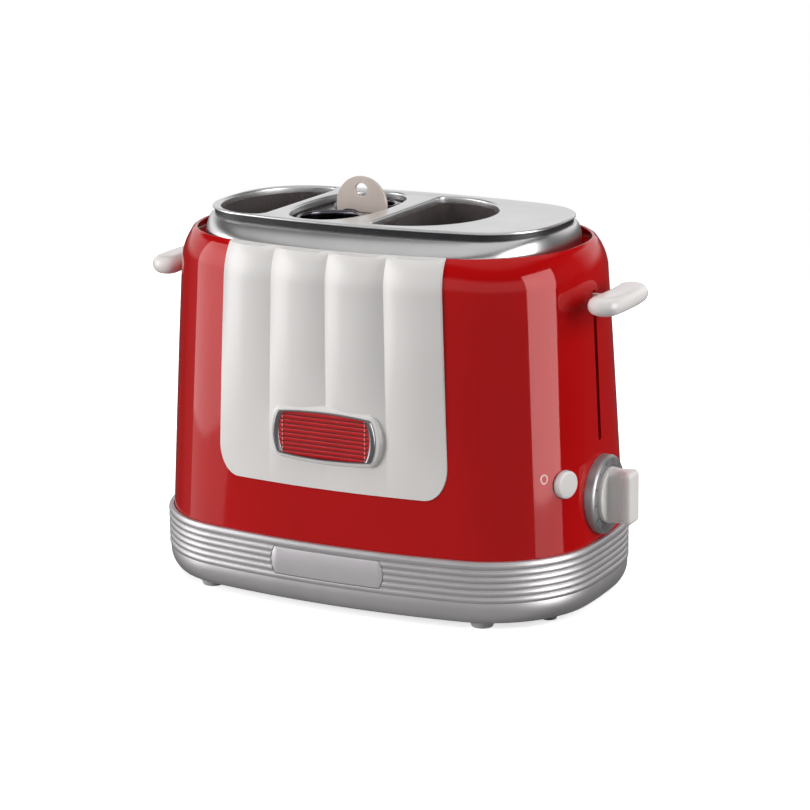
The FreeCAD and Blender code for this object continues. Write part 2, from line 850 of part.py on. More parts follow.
def panel_outline():
    """Front view of the panel as a block: straight leaning sides and large lower corners."""
    top = rim_z + CLEAR
    low, high = panel_half_x(panel_bottom_z) - panel_edge, panel_half_x(top) - panel_edge
    corners = [(-low, panel_bottom_z), (low, panel_bottom_z), (high, top), (-high, top)]
    y = -plinth_half_y - flute_depth
    wire = rounded_wire(corners, [panel_corner, panel_corner, 0, 0], lambda a, b: V(a, y, b))
    return Part.Face(wire).extrude(V(0, plinth_half_y, 0))


def make_front_panel(outline, core, badge_envelope):
    """White panel with four convex flutes that fade out behind a raised badge boss."""
    shoulder_z = rim_z - shoulder_height
    swell = [flute_start_z + (flute_full_z - flute_start_z) * i / 4 for i in range(5)]
    foot = Part.makeLoft([flute_wire(z) for z in (panel_bottom_z - CLEAR, flute_start_z)], True, True)
    rise = Part.makeLoft([flute_wire(z) for z in swell], True, False)
    straight = Part.makeLoft([flute_wire(z) for z in (flute_full_z, shoulder_z)], True, True)
    shoulder = Part.makeLoft([flute_wire(shoulder_z + shoulder_height * i / 4) for i in range(5)], True, False)
    fluted = fuse([foot, rise, straight, shoulder])
    boss = place_badge(badge_prism(boss_margin, boss_proud, -boss_root))
    return cut(fuse([fluted.common(outline), boss]), [core, badge_envelope])


def make_badge_bezel():
    seat = boss_proud - badge_seat
    ring = badge_prism(0, seat + badge_thickness, seat)
    opening = badge_prism(-badge_frame, seat + badge_thickness + CLEAR, seat - CLEAR)
    return place_badge(ring.cut(opening))


def make_badge_inlay():
    """Inlay with level ribs, set back inside the bezel."""
    front = boss_proud + badge_thickness - inlay_drop
    body = badge_prism(-badge_frame, front, boss_proud - badge_seat)
    pitch = 2 * (badge_half_z_mid - badge_frame) / badge_rib_count
    ribs = []
    for i in range(badge_rib_count):
        z = pitch * (i - (badge_rib_count - 1) / 2)
        half = pitch * badge_rib_share / 2
        ribs.append(box(-badge_half_x, badge_half_x, -front - badge_rib_depth, -front, z - half, z + half))
    ribs = [rib.common(badge_prism(-badge_frame, front + CLEAR, front - CLEAR)) for rib in ribs]
    return place_badge(fuse([body] + ribs))


def chute_seats():
    """Room for the chutes' outsides inside the cover, below the slot plate's face."""
    return [slot_prism(wire, liner_wall + fit_gap, ledge_top, plate_bottom) for wire in SLOT_WIRES.values()]


def make_top_cover():
    """Steel skirt inside the rim, flared inwards to the crease under the slot plate."""
    flare_z = ledge_top + flare_rise

    def bell(depth, lift):
        base = inset(cover_plan, depth)
        top = inset(plate_plan, depth)
        middle = blend(base, top, flare_share)
        skirt = plan_prism(base, ledge_top - lift, flare_z)
        flare = plan_loft([(base, flare_z), (middle, (flare_z + crease_z) / 2 + flare_lift), (top, crease_z)])
        return fuse([skirt, flare, plan_prism(top, crease_z - EDGE, crease_z + lift)])

    return cut(bell(0, 0), [bell(cover_wall, CLEAR)] + chute_seats())


def make_slot_plate():
    """Flat steel lid with a rolled bead round its edge and the three slots."""
    lid = plan_prism(plate_plan, crease_z, plate_z)
    lid = lid.cut(plan_prism(inset(plate_plan, cover_wall), crease_z - CLEAR, plate_bottom))

    def bead_profile(edge):
        low, high = V(edge - CLEAR, 0, crease_z), V(edge - CLEAR, 0, plate_z)
        half = V(edge + plate_bead_bulge, 0, (crease_z + plate_z) / 2)
        return face_from([Part.Arc(low, half, high).toShape(), Part.LineSegment(high, low).toShape()])

    lid = fuse([lid, plan_ring(plate_plan, bead_profile)])
    slots = [slot_prism(wire, 0, crease_z - CLEAR, plate_z + CLEAR) for wire in SLOT_WIRES.values()]
    return cut(lid, slots + chute_seats())


def make_liner(side):
    """Sheet chute from the deck to the slot plate, with a beam slot and rows of heating windows."""
    wire = SLOT_WIRES[side]
    liner = slot_prism(wire, liner_wall, deck_top, plate_bottom)
    liner = liner.cut(slot_prism(wire, 0, deck_top - CLEAR, plate_bottom + CLEAR))
    bounds = liner.BoundBox
    x0, x1 = bounds.XMin - CLEAR, bounds.XMax + CLEAR
    cuts = [box(x0, x1, -beam_slot_half_y, beam_slot_half_y, deck_top - CLEAR, beam_slot_top)]
    for i in range(window_count):
        for sy in (1, -1):
            y = sy * (beam_slot_half_y + window_width + window_pitch * i)
            low, high = y - window_width / 2, y + window_width / 2
            cuts.append(box(x0, x1, low, high, deck_top + window_foot, plate_z - window_head))
    return cut(liner, cuts)


def make_heater(x, facing):
    """Mica board split by the beam slot, wound with flat heating wire on the side it faces."""
    board = box(x, x + board_thickness, -board_half_y, board_half_y, deck_top, board_top)
    x0, x1 = x - CLEAR, x + board_thickness + CLEAR
    slot = box(x0, x1, -beam_slot_half_y, beam_slot_half_y, deck_top - CLEAR, beam_slot_top)
    strips = []
    pitch = (board_top - deck_top - wire_foot - wire_head) / wire_turns
    face_x = x + board_thickness if facing > 0 else x - wire_thickness
    near, far = beam_slot_half_y + wire_margin, board_half_y - wire_margin
    for i in range(wire_turns):
        z = deck_top + wire_foot + pitch * i
        for y0, y1 in ((-far, -near), (near, far)):
            strips.append(box(face_x, face_x + wire_thickness, y0, y1, z, z + wire_height))
    return fuse([board.cut(slot)] + strips)


def make_deck():
    """Inner chassis plate on the plinth's ledge, open below each chamber for crumbs."""
    edge = bead_depth + plinth_wall + fit_gap
    deck = plan_prism(inset(plinth_plan, edge), deck_z, deck_top)
    openings = []
    for wire in SLOT_WIRES.values():
        openings.append(slot_prism(wire, -deck_opening_gap, deck_z - CLEAR, deck_top + CLEAR))
    return cut(deck, openings)


def make_end_frame():
    """Upright plate at the right end: it holds the guide bar and the spring hook."""
    x0, x1 = frame_x, frame_x + frame_thickness
    plate = box(x0, x1, -frame_half_y, frame_half_y, deck_top, frame_top)
    feet = []
    for y in (-frame_half_y, frame_half_y - frame_foot_width):
        feet.append(box(x1, x1 + frame_foot_depth, y, y + frame_foot_width, deck_top, deck_top + frame_thickness))
    hook = box(
        x0, slider_outer_x, spring_y - spring_pad_half_y, spring_y + spring_pad_half_y,
        frame_top - hook_thickness, frame_top,
    )
    beam_slot = box(x0 - CLEAR, x1 + CLEAR, -beam_slot_half_y, beam_slot_half_y, deck_top - CLEAR, beam_slot_top)
    windows = []
    pitch = (frame_top - deck_top) / frame_window_count
    for sy in (1, -1):
        y = sy * (frame_half_y - frame_window_inset)
        for i in range(frame_window_count):
            z = deck_top + pitch * (i + 0.5)
            windows.append(box(
                x0 - CLEAR, x1 + CLEAR, y - frame_window_half_y, y + frame_window_half_y,
                z - frame_window_half_z, z + frame_window_half_z,
            ))
    return cut(fuse([plate, hook] + feet), [beam_slot] + windows)


def make_guide_bar():
    x0 = frame_x + frame_thickness
    half = guide_width / 2
    return box(x0, x0 + guide_depth, guide_y - half, guide_y + half, deck_top, frame_top)


def make_spring():
    """Return spring between the slider's foot and the frame's hook, as its outer shape."""
    x = slider_outer_x - spring_pad_half_y
    top = frame_top - hook_thickness
    outer = post(x, spring_y, spring_radius, spring_foot_z, top)
    return outer.cut(post(x, spring_y, spring_radius - spring_wall, spring_foot_z - CLEAR, top + CLEAR))


def make_slider():
    """Guide block with a notch round the bar, a foot for the spring, and a stem up to the lever."""
    x0, x1 = slider_inner_x, slider_outer_x
    far_y = guide_y + slider_half_y
    block = box(x0, x1, guide_y - slider_half_y, far_y, beam_bottom, beam_bottom + slider_height)
    half = guide_width / 2 + slide_gap
    notch_top = beam_bottom + slider_height + CLEAR
    notch = box(x0 - CLEAR, x0 + guide_depth, guide_y - half, guide_y + half, beam_bottom - CLEAR, notch_top)
    foot = box(x0, x1, spring_y - spring_pad_half_y, far_y, beam_bottom, spring_foot_z)
    stem = box(x1 - stem_thickness, x1, -slider_half_y, slider_half_y, beam_bottom, lever_z + neck_height / 2)
    return cut(fuse([block, foot, stem]), [notch])


def make_lever():
    """Bar with round ends on a flat neck that passes through the slot in the body."""
    bar = rounded_box(
        lever_inner_x, lever_outer_x, -lever_half_y, lever_half_y,
        lever_z - lever_height / 2, lever_z + lever_height / 2, lever_corner,
    )
    flats = [edge for edge in bar.Edges if abs(edge.tangentAt(edge.FirstParameter).z) < 0.5]
    bar = bar.makeFillet(lever_round, flats)
    neck = box(
        slider_outer_x, lever_inner_x + neck_root, -neck_half_y, neck_half_y,
        lever_z - neck_height / 2, lever_z + neck_height / 2,
    )
    return fuse([bar, neck])


def make_beam():
    """Cross bar that carries the three racks and joins the two sliders."""
    x0 = slider_inner_x
    return box(-x0, x0, -beam_half_y, beam_half_y, beam_bottom, beam_top)


def make_bun_rack(side):
    """Rack floor with crumb holes and a low rim."""
    wire = SLOT_WIRES[side]
    floor = slot_prism(wire, -rack_gap, rack_z, rack_top)
    rim = slot_prism(wire, -rack_gap, rack_top, rack_top + rack_rim_height)
    well = -rack_gap - rack_rim_wall
    rim = rim.cut(slot_prism(wire, well, rack_top - CLEAR, rack_top + rack_rim_height + CLEAR))
    centre = floor.CenterOfMass
    holes = []
    for i in (-1, 0, 1):
        for y in (rack_hole_first_y, rack_hole_first_y + rack_hole_pitch_y):
            for sy in (1, -1):
                x = centre.x + i * rack_hole_pitch_x
                holes.append(post(x, y * sy, rack_hole_radius, rack_z - CLEAR, rack_top + CLEAR))
    return cut(fuse([floor, rim]), holes)


def make_sausage_rack():
    floor = slot_prism(middle_wire, -rack_gap - CLEAR, rack_z, rack_top)
    low, high = rack_z - CLEAR, rack_top + CLEAR
    return cut(floor, [post(middle_x, sy * tube_y, sausage_hole_radius, low, high) for sy in (1, -1)])


def make_armature():
    """Bracket on the beam whose plate the holding magnet grips when the levers are down."""
    x1 = frame_x - armature_gap
    x0 = x1 - armature_width
    y_beam = -beam_half_y
    top = beam_bottom + armature_height
    upright = box(x0, x1, y_beam - armature_web, y_beam, beam_bottom, top)
    plate = box(x0, x1, -armature_reach, y_beam, top - armature_thickness, top)
    return fuse([upright, plate])


def core_box(y0, y1, low, high):
    return box(coil_x + coil_wall, coil_x + coil_width - coil_wall, y0, y1, low, high)


def make_magnet_core():
    """Iron yoke with one leg inside the coil and one beside it."""
    legs = [core_box(y, y + core_leg, deck_top, magnet_top) for y in (core_outer_y, core_inner_y)]
    yoke = core_box(core_outer_y, core_inner_y + core_leg, deck_top, deck_top + core_leg)
    return fuse(legs + [yoke])


def make_magnet_coil():
    top = magnet_top - coil_drop
    outer = rounded_box(
        coil_x, coil_x + coil_width, coil_outer_y, coil_inner_y, deck_top + core_leg, top, coil_wall - CLEAR,
    )
    return outer.cut(core_box(core_outer_y, core_outer_y + core_leg, deck_top, magnet_top + CLEAR))


def make_control_board():
    """Circuit board upright beside the right end frame, with its relay, resistor and capacitors."""
    face_x = frame_x - circuit_gap - part_depth
    back_x = face_x - circuit_thickness
    far_y = plinth_half_y - circuit_side_gap
    top = deck_top + circuit_height
    board = box(back_x, face_x, circuit_near_y, far_y, deck_top, top)
    middle_y = (circuit_near_y + far_y) / 2
    middle_z = (deck_top + top) / 2
    near = middle_y - capacitor_pitch / 2
    relay = box(
        face_x, face_x + part_depth, near - relay_width / 2, near + relay_width / 2,
        middle_z - relay_height, middle_z,
    )
    caps = []
    for i in (-1, 0, 1):
        centre = V(face_x, far_y - 2 * capacitor_radius, middle_z + capacitor_pitch * (i - 1))
        caps.append(Part.makeCylinder(capacitor_radius, part_depth, centre, V(1, 0, 0)))
    low = middle_z + relay_height
    resistor = box(
        face_x, face_x + resistor_depth, middle_y - resistor_width / 2, middle_y + resistor_width / 2,
        low, low + resistor_height,
    )
    return fuse([board, relay, resistor] + caps)


def make_dial_ring():
    """Silver dial that plugs the hole in the body and carries the timer on its back."""
    disc = rod_x(0, dial_z, dial_radius, dial_back_x, dial_face_x)
    rim_edges = [edge for edge in disc.Edges if abs(edge.CenterOfMass.x - dial_face_x) < EDGE]
    disc = disc.makeChamfer(dial_chamfer, rim_edges)
    dish = rod_x(0, dial_z, knob_radius + dial_dish_margin, dial_face_x - dial_dish, dial_face_x + CLEAR)
    bore = rod_x(0, dial_z, shaft_radius + shaft_gap, dial_back_x - CLEAR, dial_face_x + CLEAR)
    return cut(disc, [dish, bore])


def make_timer():
    x0 = dial_back_x - timer_depth
    body = rod_x(0, dial_z, timer_radius, x0, dial_back_x)
    socket = rod_x(0, dial_z, shaft_radius + shaft_gap, x0 + shaft_floor, dial_back_x + CLEAR)
    return body.cut(socket)


def make_knob():
    """Round knob with one wide grip across it."""
    flange = rod_x(0, dial_z, knob_radius, knob_base_x, knob_base_x + knob_flange)
    half_z = knob_radius - grip_margin
    corners = [(-grip_half_y, dial_z - half_z), (grip_half_y, dial_z - half_z)]
    corners += [(grip_half_y, dial_z + half_z), (-grip_half_y, dial_z + half_z)]
    wire = rounded_wire(corners, [grip_corner] * 4, lambda a, b: V(knob_base_x, a, b))
    grip = Part.Face(wire).extrude(V(knob_reach_x - knob_base_x, 0, 0))
    tip = [edge for edge in grip.Edges if edge.BoundBox.XMin > knob_reach_x - EDGE]
    grip = grip.makeFillet(knob_tip_round, tip)
    return fuse([flange, grip])


def make_knob_shaft():
    return rod_x(0, dial_z, shaft_radius, dial_back_x - timer_depth + shaft_floor + slide_gap, knob_base_x)


def make_stop_button():
    seat = button_seat()
    axis = button_axis()
    body = Part.makeCylinder(button_radius, button_depth + button_proud, seat - axis * button_depth, axis)
    tip = seat + axis * button_proud
    rim = [edge for edge in body.Edges if (edge.CenterOfMass - tip).Length < EDGE]
    return body.makeFillet(button_round, rim)


def make_button_guide():
    """Collar behind the body wall that the button slides in, with a switch block across its back."""
    axis = button_axis()
    start = button_seat() - axis * button_guide_depth
    inner_body = body_solid(body_foot_z - CLEAR, ledge_top - ledge_thickness, body_wall)
    bore_radius = button_radius + button_gap
    outer = Part.makeCylinder(bore_radius + button_guide_wall, 2 * button_guide_depth, start, axis)
    bore = Part.makeCylinder(bore_radius, 2 * button_guide_depth, start + axis * button_guide_floor, axis)
    return outer.cut(bore).common(inner_body)


def tray_front_box(gap):
    return box(
        -tray_half_x - gap, tray_half_x + gap, plinth_half_y - tray_window_depth, plinth_half_y + CLEAR,
        tray_bottom - gap, tray_top + gap,
    )


def make_tray_front(ring):
    """Rear face of the tray, cut from the same curved wall as the plinth, with a finger lip."""
    face = ring.common(tray_front_box(0))
    middle_z = (tray_bottom + tray_top) / 2
    lip = rounded_box(
        -tray_lip_half_x, tray_lip_half_x, plinth_half_y - tray_lip_depth, plinth_half_y + tray_lip_proud,
        middle_z - tray_lip_height / 2, middle_z + tray_lip_height / 2, tray_lip_corner,
    )
    return fuse([face, lip])


def make_crumb_tray(tray_front):
    """Shallow sheet tray behind that face."""
    rear_y = plinth_half_y - tray_rear_gap
    inner_x = tray_half_x - tray_wall
    floor_top = tray_bottom + tray_wall
    shell = box(-tray_half_x, tray_half_x, tray_front_y, rear_y, tray_bottom, tray_top)
    hollow = box(-inner_x, inner_x, tray_front_y + tray_wall, plinth_half_y, floor_top, tray_top + CLEAR)
    floor = box(-tray_half_x, tray_half_x, tray_front_y, plinth_half_y, tray_bottom, floor_top)
    floor = floor.common(plan_prism(inset(plinth_plan, bead_depth + plinth_wall + CLEAR), 0, plinth_top))
    return cut(fuse([shell.cut(hollow), floor]), [tray_front])


def gland_rod(radius, margin):
    back, front = plinth_half_y - gland_inside - margin, plinth_half_y - gland_outside + margin
    return rod_y(gland_x, deck_top + gland_radius + gland_lift, radius, back, front)


def make_cord_gland():
    """Cord outlet low at the rear right, a little proud of the plinth."""
    return gland_rod(gland_radius, 0).cut(gland_rod(gland_bore, CLEAR))


def cage_plan_wire(z):
    """Outline of the cage's plate: the middle slot less its gap, with rounder corners."""
    half_x, half_y = middle_half_x - cage_gap, middle_half_y - cage_gap
    corners = [(middle_x - half_x, -half_y), (middle_x + half_x, -half_y)]
    corners += [(middle_x + half_x, half_y), (middle_x - half_x, half_y)]
    return rounded_wire(corners, [cage_corner] * 4, lambda a, b: V(a, b, z))


def make_cage_plate(tab):
    top = plate_z - cage_plate_drop
    plate = Part.Face(cage_plan_wire(top - cage_plate_thickness)).extrude(V(0, 0, cage_plate_thickness))
    inner = tube_outer - tube_wall
    holes = []
    collars = []
    for sy in (1, -1):
        hole = post(middle_x, sy * tube_y, inner, top - cage_plate_thickness - CLEAR, top + collar_height + CLEAR)
        collar = post(middle_x, sy * tube_y, inner + collar_width, top, top + collar_height)
        holes.append(hole)
        collars.append(collar.cut(hole))
    return cut(fuse([plate] + collars), holes + [tab])


def make_cage_tube(sy):
    """Open basket for one sausage: a tube with long windows and a floor with a drain hole."""
    top = plate_z - cage_plate_drop - cage_plate_thickness
    y = sy * tube_y
    bottom = rack_top + slide_gap
    tube = post(middle_x, y, tube_outer, bottom, top)
    tube = tube.cut(post(middle_x, y, tube_outer - tube_wall, bottom + tube_wall, top + CLEAR))
    cuts = [post(middle_x, y, tube_drain_radius, bottom - CLEAR, bottom + tube_wall + CLEAR)]
    reach = tube_outer + CLEAR
    half = tube_window_half_width
    for angle in (45, 135):
        window = box(-reach, reach, -half, half, bottom + tube_window_foot, top - tube_window_head)
        window.rotate(V(0, 0, 0), V(0, 0, 1), angle)
        window.translate(V(middle_x, y, 0))
        cuts.append(window)
    return cut(tube, cuts)


def make_cage_tab():
    """Half-disc lifting tab with a hole, standing on the cage plate."""
    foot_z = plate_z - cage_plate_drop
    half = tab_thickness / 2
    disc = rod_y(tab_x, plate_z, tab_radius, tab_y - half, tab_y + half)
    neck = box(tab_x - tab_radius, tab_x + tab_radius, tab_y - half, tab_y + half, foot_z, plate_z)
    low_z = plate_z - tab_radius - CLEAR
    y0, y1 = tab_y - tab_thickness, tab_y + tab_thickness
    below = box(tab_x - tab_radius, tab_x + tab_radius, y0, y1, low_z, foot_z)
    hole = rod_y(tab_x, plate_z + tab_hole_rise, tab_hole_radius, y0, y1)
    return cut(fuse([disc, neck]), [below, hole])


def save(node, shape):
    shape.exportStep("parts/" + node + ".step")
    print(node, len(shape.Solids), round(shape.Volume, 1), shape.isValid())


def main():
    os.makedirs("parts", exist_ok=True)
    name_plate = make_name_plate()
    ring = plan_ring(plinth_plan, plinth_profile)
    save("name_plate", name_plate)
    gland = make_cord_gland()
    save("plinth", cut(ring, [name_plate, tray_front_box(tray_gap), gland_rod(gland_radius, gland_inside)]))
    tray_front = make_tray_front(ring)
    save("tray_front", tray_front)
    save("crumb_tray", make_crumb_tray(tray_front))
    save("base_pan", make_base_pan())
    save("feet", make_feet())
    save("deck", make_deck())
    save("cord_gland", gland)

    badge_envelope = place_badge(badge_prism(0, boss_proud + badge_thickness, boss_proud - badge_seat))
    outline = panel_outline()
    core = body_solid(body_foot_z, rim_z + EDGE, panel_recess)
    save("front_panel", make_front_panel(outline, core, badge_envelope))
    save("badge_bezel", make_badge_bezel())
    save("badge_inlay", make_badge_inlay())
    save("body_shell", make_body_shell(outline.cut(core)))
    save("top_cover", make_top_cover())
    save("slot_plate", make_slot_plate())

    for side, node in (("left", "bun_liner_left"), ("middle", "sausage_liner"), ("right", "bun_liner_right")):
        save(node, make_liner(side))
    wall = liner_wall + slide_gap
    save("heater_outer_left", make_heater(left_bulge_x - wall - wire_thickness - board_thickness, 1))
    save("heater_inner_left", make_heater((left_flat_x + middle_x - middle_half_x - board_thickness) / 2, 1))
    save("heater_inner_right", make_heater((middle_x + middle_half_x + right_flat_x - board_thickness) / 2, 1))
    save("heater_outer_right", make_heater(right_bulge_x + wall + wire_thickness, -1))

    for node, shape in (
        ("end_frame", make_end_frame()),
        ("guide_bar", make_guide_bar()),
        ("return_spring", make_spring()),
        ("slider", make_slider()),
        ("lever", make_lever()),
    ):
        save(node + "_right", shape)
        save(node + "_left", mirror_x(shape))
    save("carriage_beam", make_beam())
    save("bun_rack_left", make_bun_rack("left"))
    save("bun_rack_right", make_bun_rack("right"))
    save("sausage_rack", make_sausage_rack())
    save("armature", make_armature())
    save("magnet_core", make_magnet_core())
    save("magnet_coil", make_magnet_coil())
    save("control_board", make_control_board())

    save("dial_ring", make_dial_ring())
    save("timer", make_timer())
    save("knob", make_knob())
    save("knob_shaft", make_knob_shaft())
    save("stop_button", make_stop_button())
    save("button_guide", make_button_guide())

    tab = make_cage_tab()
    save("cage_plate", make_cage_plate(tab))
    save("cage_tube_front", make_cage_tube(-1))
    save("cage_tube_rear", make_cage_tube(1))
    save("cage_tab", tab)


if __name__ == "__main__":
    main()
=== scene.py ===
import bpy
import bmesh
import math
from mathutils import Matrix, Vector
from mathutils.geometry import tessellate_polygon


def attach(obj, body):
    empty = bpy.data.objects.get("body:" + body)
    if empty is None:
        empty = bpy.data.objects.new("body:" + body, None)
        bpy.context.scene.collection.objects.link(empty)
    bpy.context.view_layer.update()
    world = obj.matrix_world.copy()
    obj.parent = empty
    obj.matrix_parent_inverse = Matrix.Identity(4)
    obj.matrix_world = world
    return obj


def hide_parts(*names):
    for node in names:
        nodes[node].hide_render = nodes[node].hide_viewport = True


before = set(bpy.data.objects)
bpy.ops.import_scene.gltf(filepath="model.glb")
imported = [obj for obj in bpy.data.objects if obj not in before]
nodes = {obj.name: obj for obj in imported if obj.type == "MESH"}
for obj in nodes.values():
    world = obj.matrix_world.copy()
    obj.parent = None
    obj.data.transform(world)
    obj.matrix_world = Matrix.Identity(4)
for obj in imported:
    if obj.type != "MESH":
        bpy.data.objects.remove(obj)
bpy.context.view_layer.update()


# Bottom pan with its cord cleats, and the four feet.
# The pan is moulded grey polypropylene, screwed up into the plinth; the feet are grey rubber
# pushed over its pegs.

def colour(hex_code):
    """sRGB hex to the linear colour that a shader socket takes."""
    channels = [int(hex_code[i:i + 2], 16) / 255 for i in (0, 2, 4)]
    return [c / 12.92 if c <= 0.04045 else ((c + 0.055) / 1.055) ** 2.4 for c in channels] + [1.0]


def add_node(material, kind, values, links):
    """Add one node, set its values by socket or property name, and link its inputs."""
    node = material.node_tree.nodes.new("ShaderNode" + kind)
    for name, value in values.items():
        if name in node.inputs:
            node.inputs[name].default_value = value
        else:
            setattr(node, name, value)
    for name, source in links.items():
        material.node_tree.links.new(source, node.inputs[name])
    return node


def finish(name, dark, light, patch, grain, rough, relief, stretch=(1, 1, 1), **shader):
    """A surface whose colour drifts between two tones, with a grain in its roughness and its relief.

    patch, grain and relief are in millimetres, rough is the lowest and highest roughness.
    """
    material = bpy.data.materials.new(name)
    material.use_nodes = True
    material.node_tree.nodes.clear()
    place = add_node(material, "TexCoord", {}, {})
    scaled = add_node(material, "Mapping", {"Scale": stretch}, {"Vector": place.outputs["Object"]})
    where = {"Vector": scaled.outputs[0]}
    drift = add_node(material, "TexNoise", {"Scale": 1000 / patch, "Detail": 2.0}, where)
    tones = add_node(material, "ValToRGB", {}, {"Fac": drift.outputs[0]})
    for element, tone, position in zip(tones.color_ramp.elements, (dark, light), (0.35, 0.65)):
        element.color = colour(tone)
        element.position = position
    speck = add_node(material, "TexNoise", {"Scale": 1000 / grain, "Detail": 3.0}, where)
    sheen = add_node(
        material, "MapRange",
        {"From Min": 0.3, "From Max": 0.7, "To Min": rough[0], "To Max": rough[1]},
        {"Value": speck.outputs[0]},
    )
    bump = add_node(
        material, "Bump", {"Strength": 1.0, "Distance": relief / 1000}, {"Height": speck.outputs[0]},
    )
    surface = add_node(
        material, "BsdfPrincipled", shader,
        {"Base Color": tones.outputs[0], "Roughness": sheen.outputs[0], "Normal": bump.outputs[0]},
    )
    add_node(material, "OutputMaterial", {}, {"Surface": surface.outputs[0]})
    return material


def wear(material, *names):
    """Give CAD nodes their finish."""
    for name in names:
        mesh = nodes[name].data
        mesh.materials.clear()
        mesh.materials.append(material)


# Spark-eroded mould texture, 0.5 mm; it scatters light, so the plastic looks flat and dusty.
moulded_grey = finish("moulded_grey_polypropylene", "6B686A", "757274", 30, 0.5, (0.45, 0.6), 0.02)
wear(moulded_grey, "base_pan")
# Paler rubber with a finer grain and no gloss at all, so the feet look soft.
foot_rubber = finish("moulded_grey_rubber", "B2AFB0", "BBB8B9", 20, 0.4, (0.6, 0.78), 0.02)
wear(foot_rubber, "feet")


# Ribbed plinth: moulded ABS with a satin silver lacquer.
# A plain band curves in to the foot, five beads and a taller top bead run round it, and the
# body drops into its inner ledge.

# Steps in each arc of an outline.
ARC_STEPS = {"end": 20, "corner": 22, "front": 44}


def oval(half_x, half_y, front_r, end_r, corner_r):
    """Outline of eight tangent arcs: (x, y, normal x, normal y), anticlockwise from the +X end."""
    front_y, end_x = half_y - front_r, half_x - end_r
    to_front, to_end = front_r - corner_r, end_r - corner_r
    gap = math.hypot(end_x, front_y)
    along = (to_front ** 2 - to_end ** 2 + gap ** 2) / (2 * gap)
    across = math.sqrt(to_front ** 2 - along ** 2)
    ux, uy = end_x / gap, -front_y / gap
    corners = [(ux * along - s * uy * across, front_y + uy * along + s * ux * across) for s in (1, -1)]
    cx, cy = max(corners, key=sum)
    front_angle = math.atan2(cy - front_y, cx)
    end_angle = math.atan2(cy, cx - end_x)
    turn, rest, pi = front_angle - end_angle, math.pi - 2 * front_angle, math.pi
    arcs = [
        ("end", end_x, 0, end_r, -end_angle, 2 * end_angle),
        ("corner", cx, cy, corner_r, end_angle, turn),
        ("front", 0, front_y, front_r, front_angle, rest),
        ("corner", -cx, cy, corner_r, pi - front_angle, turn),
        ("end", -end_x, 0, end_r, pi - end_angle, 2 * end_angle),
        ("corner", -cx, -cy, corner_r, pi + end_angle, turn),
        ("front", 0, -front_y, front_r, pi + front_angle, rest),
        ("corner", cx, -cy, corner_r, -front_angle, turn),
    ]
    outline = []
    for kind, ax, ay, radius, start, sweep in arcs:
        steps = ARC_STEPS[kind]
        for i in range(steps):
            angle = start + sweep * i / steps
            nx, ny = math.cos(angle), math.sin(angle)
            outline.append((ax + radius * nx, ay + radius * ny, nx, ny))
    return outline


def level(outline, depth, z):
    """The outline at height z, moved in by depth."""
    return [(x - nx * depth, y - ny * depth, z) for x, y, nx, ny in outline]


def circle_through(a, b, c):
    """Centre, radius, first angle and sweep of the arc from a through b to c."""
    d = 2 * (a[0] * (b[1] - c[1]) + b[0] * (c[1] - a[1]) + c[0] * (a[1] - b[1]))
    sa, sb, sc = (p[0] ** 2 + p[1] ** 2 for p in (a, b, c))
    ox = (sa * (b[1] - c[1]) + sb * (c[1] - a[1]) + sc * (a[1] - b[1])) / d
    oy = (sa * (c[0] - b[0]) + sb * (a[0] - c[0]) + sc * (b[0] - a[0])) / d
    start = math.atan2(a[1] - oy, a[0] - ox)
    middle = (math.atan2(b[1] - oy, b[0] - ox) - start) % math.tau
    sweep = (math.atan2(c[1] - oy, c[0] - ox) - start) % math.tau
    if middle > sweep:
        sweep -= math.tau
    return ox, oy, math.hypot(a[0] - ox, a[1] - oy), start, sweep


def arc(a, b, c, steps):
    """Points from a through b to c on a circle, without the last one."""
    ox, oy, radius, start, sweep = circle_through(a, b, c)
    angles = [start + sweep * i / steps for i in range(steps)]
    return [(ox + radius * math.cos(t), oy + radius * math.sin(t)) for t in angles]


